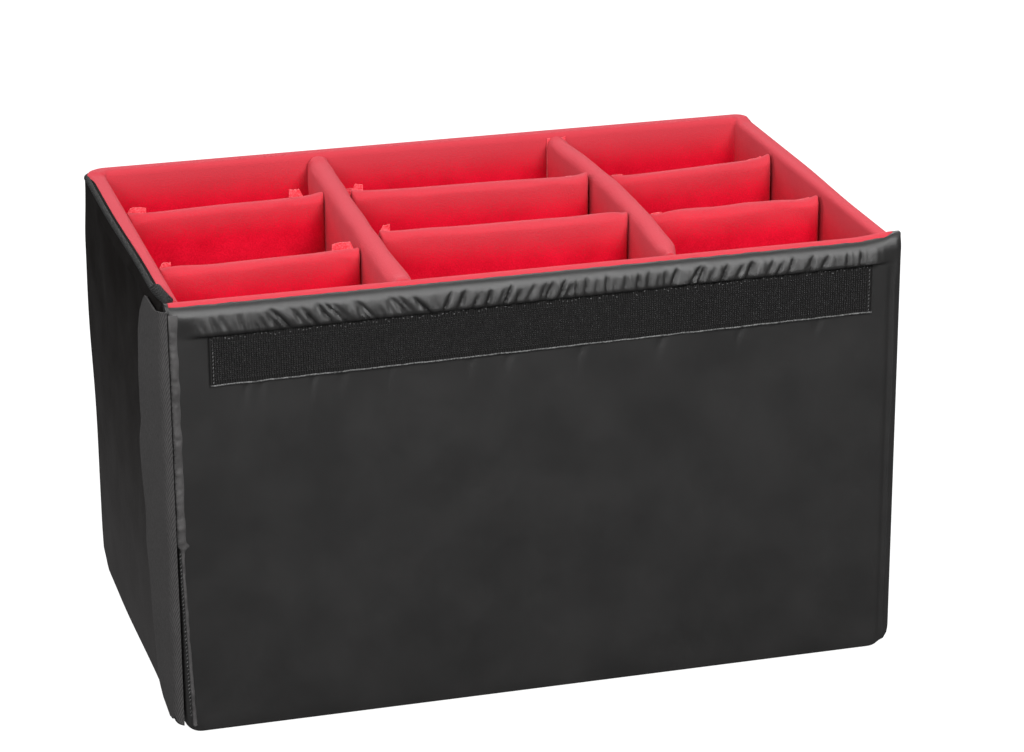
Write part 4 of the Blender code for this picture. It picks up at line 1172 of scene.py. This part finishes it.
path, radii = [], []
turn_y, reach = BACK_FACE - OUTER_CORNER, OUTER_CORNER - BINDING_INSET
turn_x = binding_centre(turn_y)[0] + reach
for angle in np.radians(np.arange(98, 180, 6)):
    path.append((turn_x + reach * math.cos(angle), turn_y + reach * math.sin(angle), TOP - 0.0020))
    radii.append(0.0008 + 0.0013 * smooth_step((angle - 1.75) / 1.0))
for y in np.arange(turn_y, BAR_FRONT - 0.0001, -0.0007):
    x, z, on_bar = binding_centre(y)
    to_end = max(0.0, (BAR_FRONT + 0.0035 - y) / 0.0035)
    rib = (0.00012 + 0.00028 * on_bar) * math.sin(y * TURN / 0.0029)
    path.append((x, y, z))
    radii.append((0.0021 + 0.0017 * on_bar + rib) * math.sqrt(max(0.04, 1 - to_end**2)))
path = np.array(path)
steps = np.gradient(path, axis=0)
steps /= np.linalg.norm(steps, axis=1, keepdims=True)
rings = []
for point, step, radius in zip(path, steps, radii):
    side = np.cross(step, (0, 0, 1))
    side /= np.linalg.norm(side)
    over = np.cross(side, step) * BINDING_FLATTEN
    rings.append([point + radius * (side * cos + over * sin) for cos, sin in circle(18)])
dress(tube_of_rings("left_binding_bar", rings, BINDING), "wrap", "nylon_cover", "left_binding_end")

# %% Corner seam
seam_low, seam_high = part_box("hinge_seam")
seam_middle = (seam_low + seam_high) / 2
rings = []
for z in np.linspace(seam_low.z - 0.008, seam_high.z + 0.014, 120):
    radius = 0.0017 + 0.0002 * ripple(z, 0.0, 97, 0.012)
    rings.append([(seam_middle.x + radius * cos, seam_middle.y + radius * sin, z) for cos, sin in circle(12)])
dress(tube_of_rings("front_right_corner_seam", rings, NYLON), "wrap", "nylon_cover", "hinge_seam")

# %% [markdown]
# ## Camera, floor and light
# The camera stands where the photograph's did: its place and lens were solved from the set's own edges. The
# floor is white to the camera and keeps the soft shadow. The lamps are large and plain.

# %% Camera
camera_data = bpy.data.cameras.new("camera")
camera_data.sensor_width = 36.0
camera_data.lens = 119.33
camera_data.clip_end = 100
camera = link("camera", camera_data)
right_axis = Vector((0.96259, -0.27089, -0.00586))
up_axis = -Vector((-0.09958, -0.33359, -0.93744))
back_axis = -Vector((0.25199, 0.90296, -0.34809))
turned = Matrix((right_axis, up_axis, back_axis)).transposed().to_4x4()
camera.matrix_world = Matrix.Translation((-0.6325, -2.3553, 1.0914)) @ turned
bpy.context.scene.camera = camera

# %% Floor
floor_mesh = bpy.data.meshes.new("floor")
floor_mesh.from_pydata([(-4, -4, 0), (4, -4, 0), (4, 4, 0), (-4, 4, 0)], [], [(0, 1, 2, 3)])
floor = link("floor", floor_mesh)
floor.location.z = -0.0006
floor_material, tree, shader = new_material("pale_floor")
is_camera = add_node(tree, "ShaderNodeLightPath", {}, "Is Camera Ray")
feed(tree, shader, {
    "Base Color": (0.17, 0.17, 0.17, 1),
    "Roughness": 0.9,
    "Specular IOR Level": 0.0,
    "Emission Color": (1, 1, 1, 1),
    "Emission Strength": add_node(tree, "ShaderNodeMath", {0: is_camera, 1: 0.97}, 0, operation="MULTIPLY"),
})
floor_mesh.materials.append(floor_material)

# %% Light
world = bpy.data.worlds.new("studio")
bpy.context.scene.world = world
world.use_nodes = True
tree = world.node_tree
is_camera = add_node(tree, "ShaderNodeLightPath", {}, "Is Camera Ray")
glow = add_node(tree, "ShaderNodeMapRange", {"Value": is_camera, "To Min": 0.16, "To Max": 1.0}, "Result")
feed(tree, tree.nodes["Background"], {"Color": (1, 1, 1, 1), "Strength": glow})


def softbox(name, place, target, size, watts):
    light = bpy.data.lights.new(name, "AREA")
    light.shape = "RECTANGLE"
    light.size, light.size_y = size
    light.energy = watts
    lamp = link(name, light)
    lamp.location = place
    lamp.rotation_mode = "QUATERNION"
    lamp.rotation_quaternion = (Vector(target) - Vector(place)).to_track_quat("-Z", "Y")


softbox("top_softbox", (-0.2, 0.1, 3.2), (0, 0, 0.3), (2.2, 1.8), 15)
softbox("front_left_softbox", (-1.5, -1.9, 1.6), (0, 0, 0.25), (1.3, 1.1), 34)
softbox("front_softbox", (0.70, -2.1, 2.1), (0, 0, 0.28), (1.2, 1.0), 84)
softbox("left_softbox", (-2.6, 0.3, 1.2), (0, 0, 0.25), (1.2, 1.0), 30)
softbox("rear_softbox", (0.8, 2.3, 1.7), (0, 0, 0.22), (1.4, 1.1), 34)
bpy.context.scene.view_settings.view_transform = "Standard"
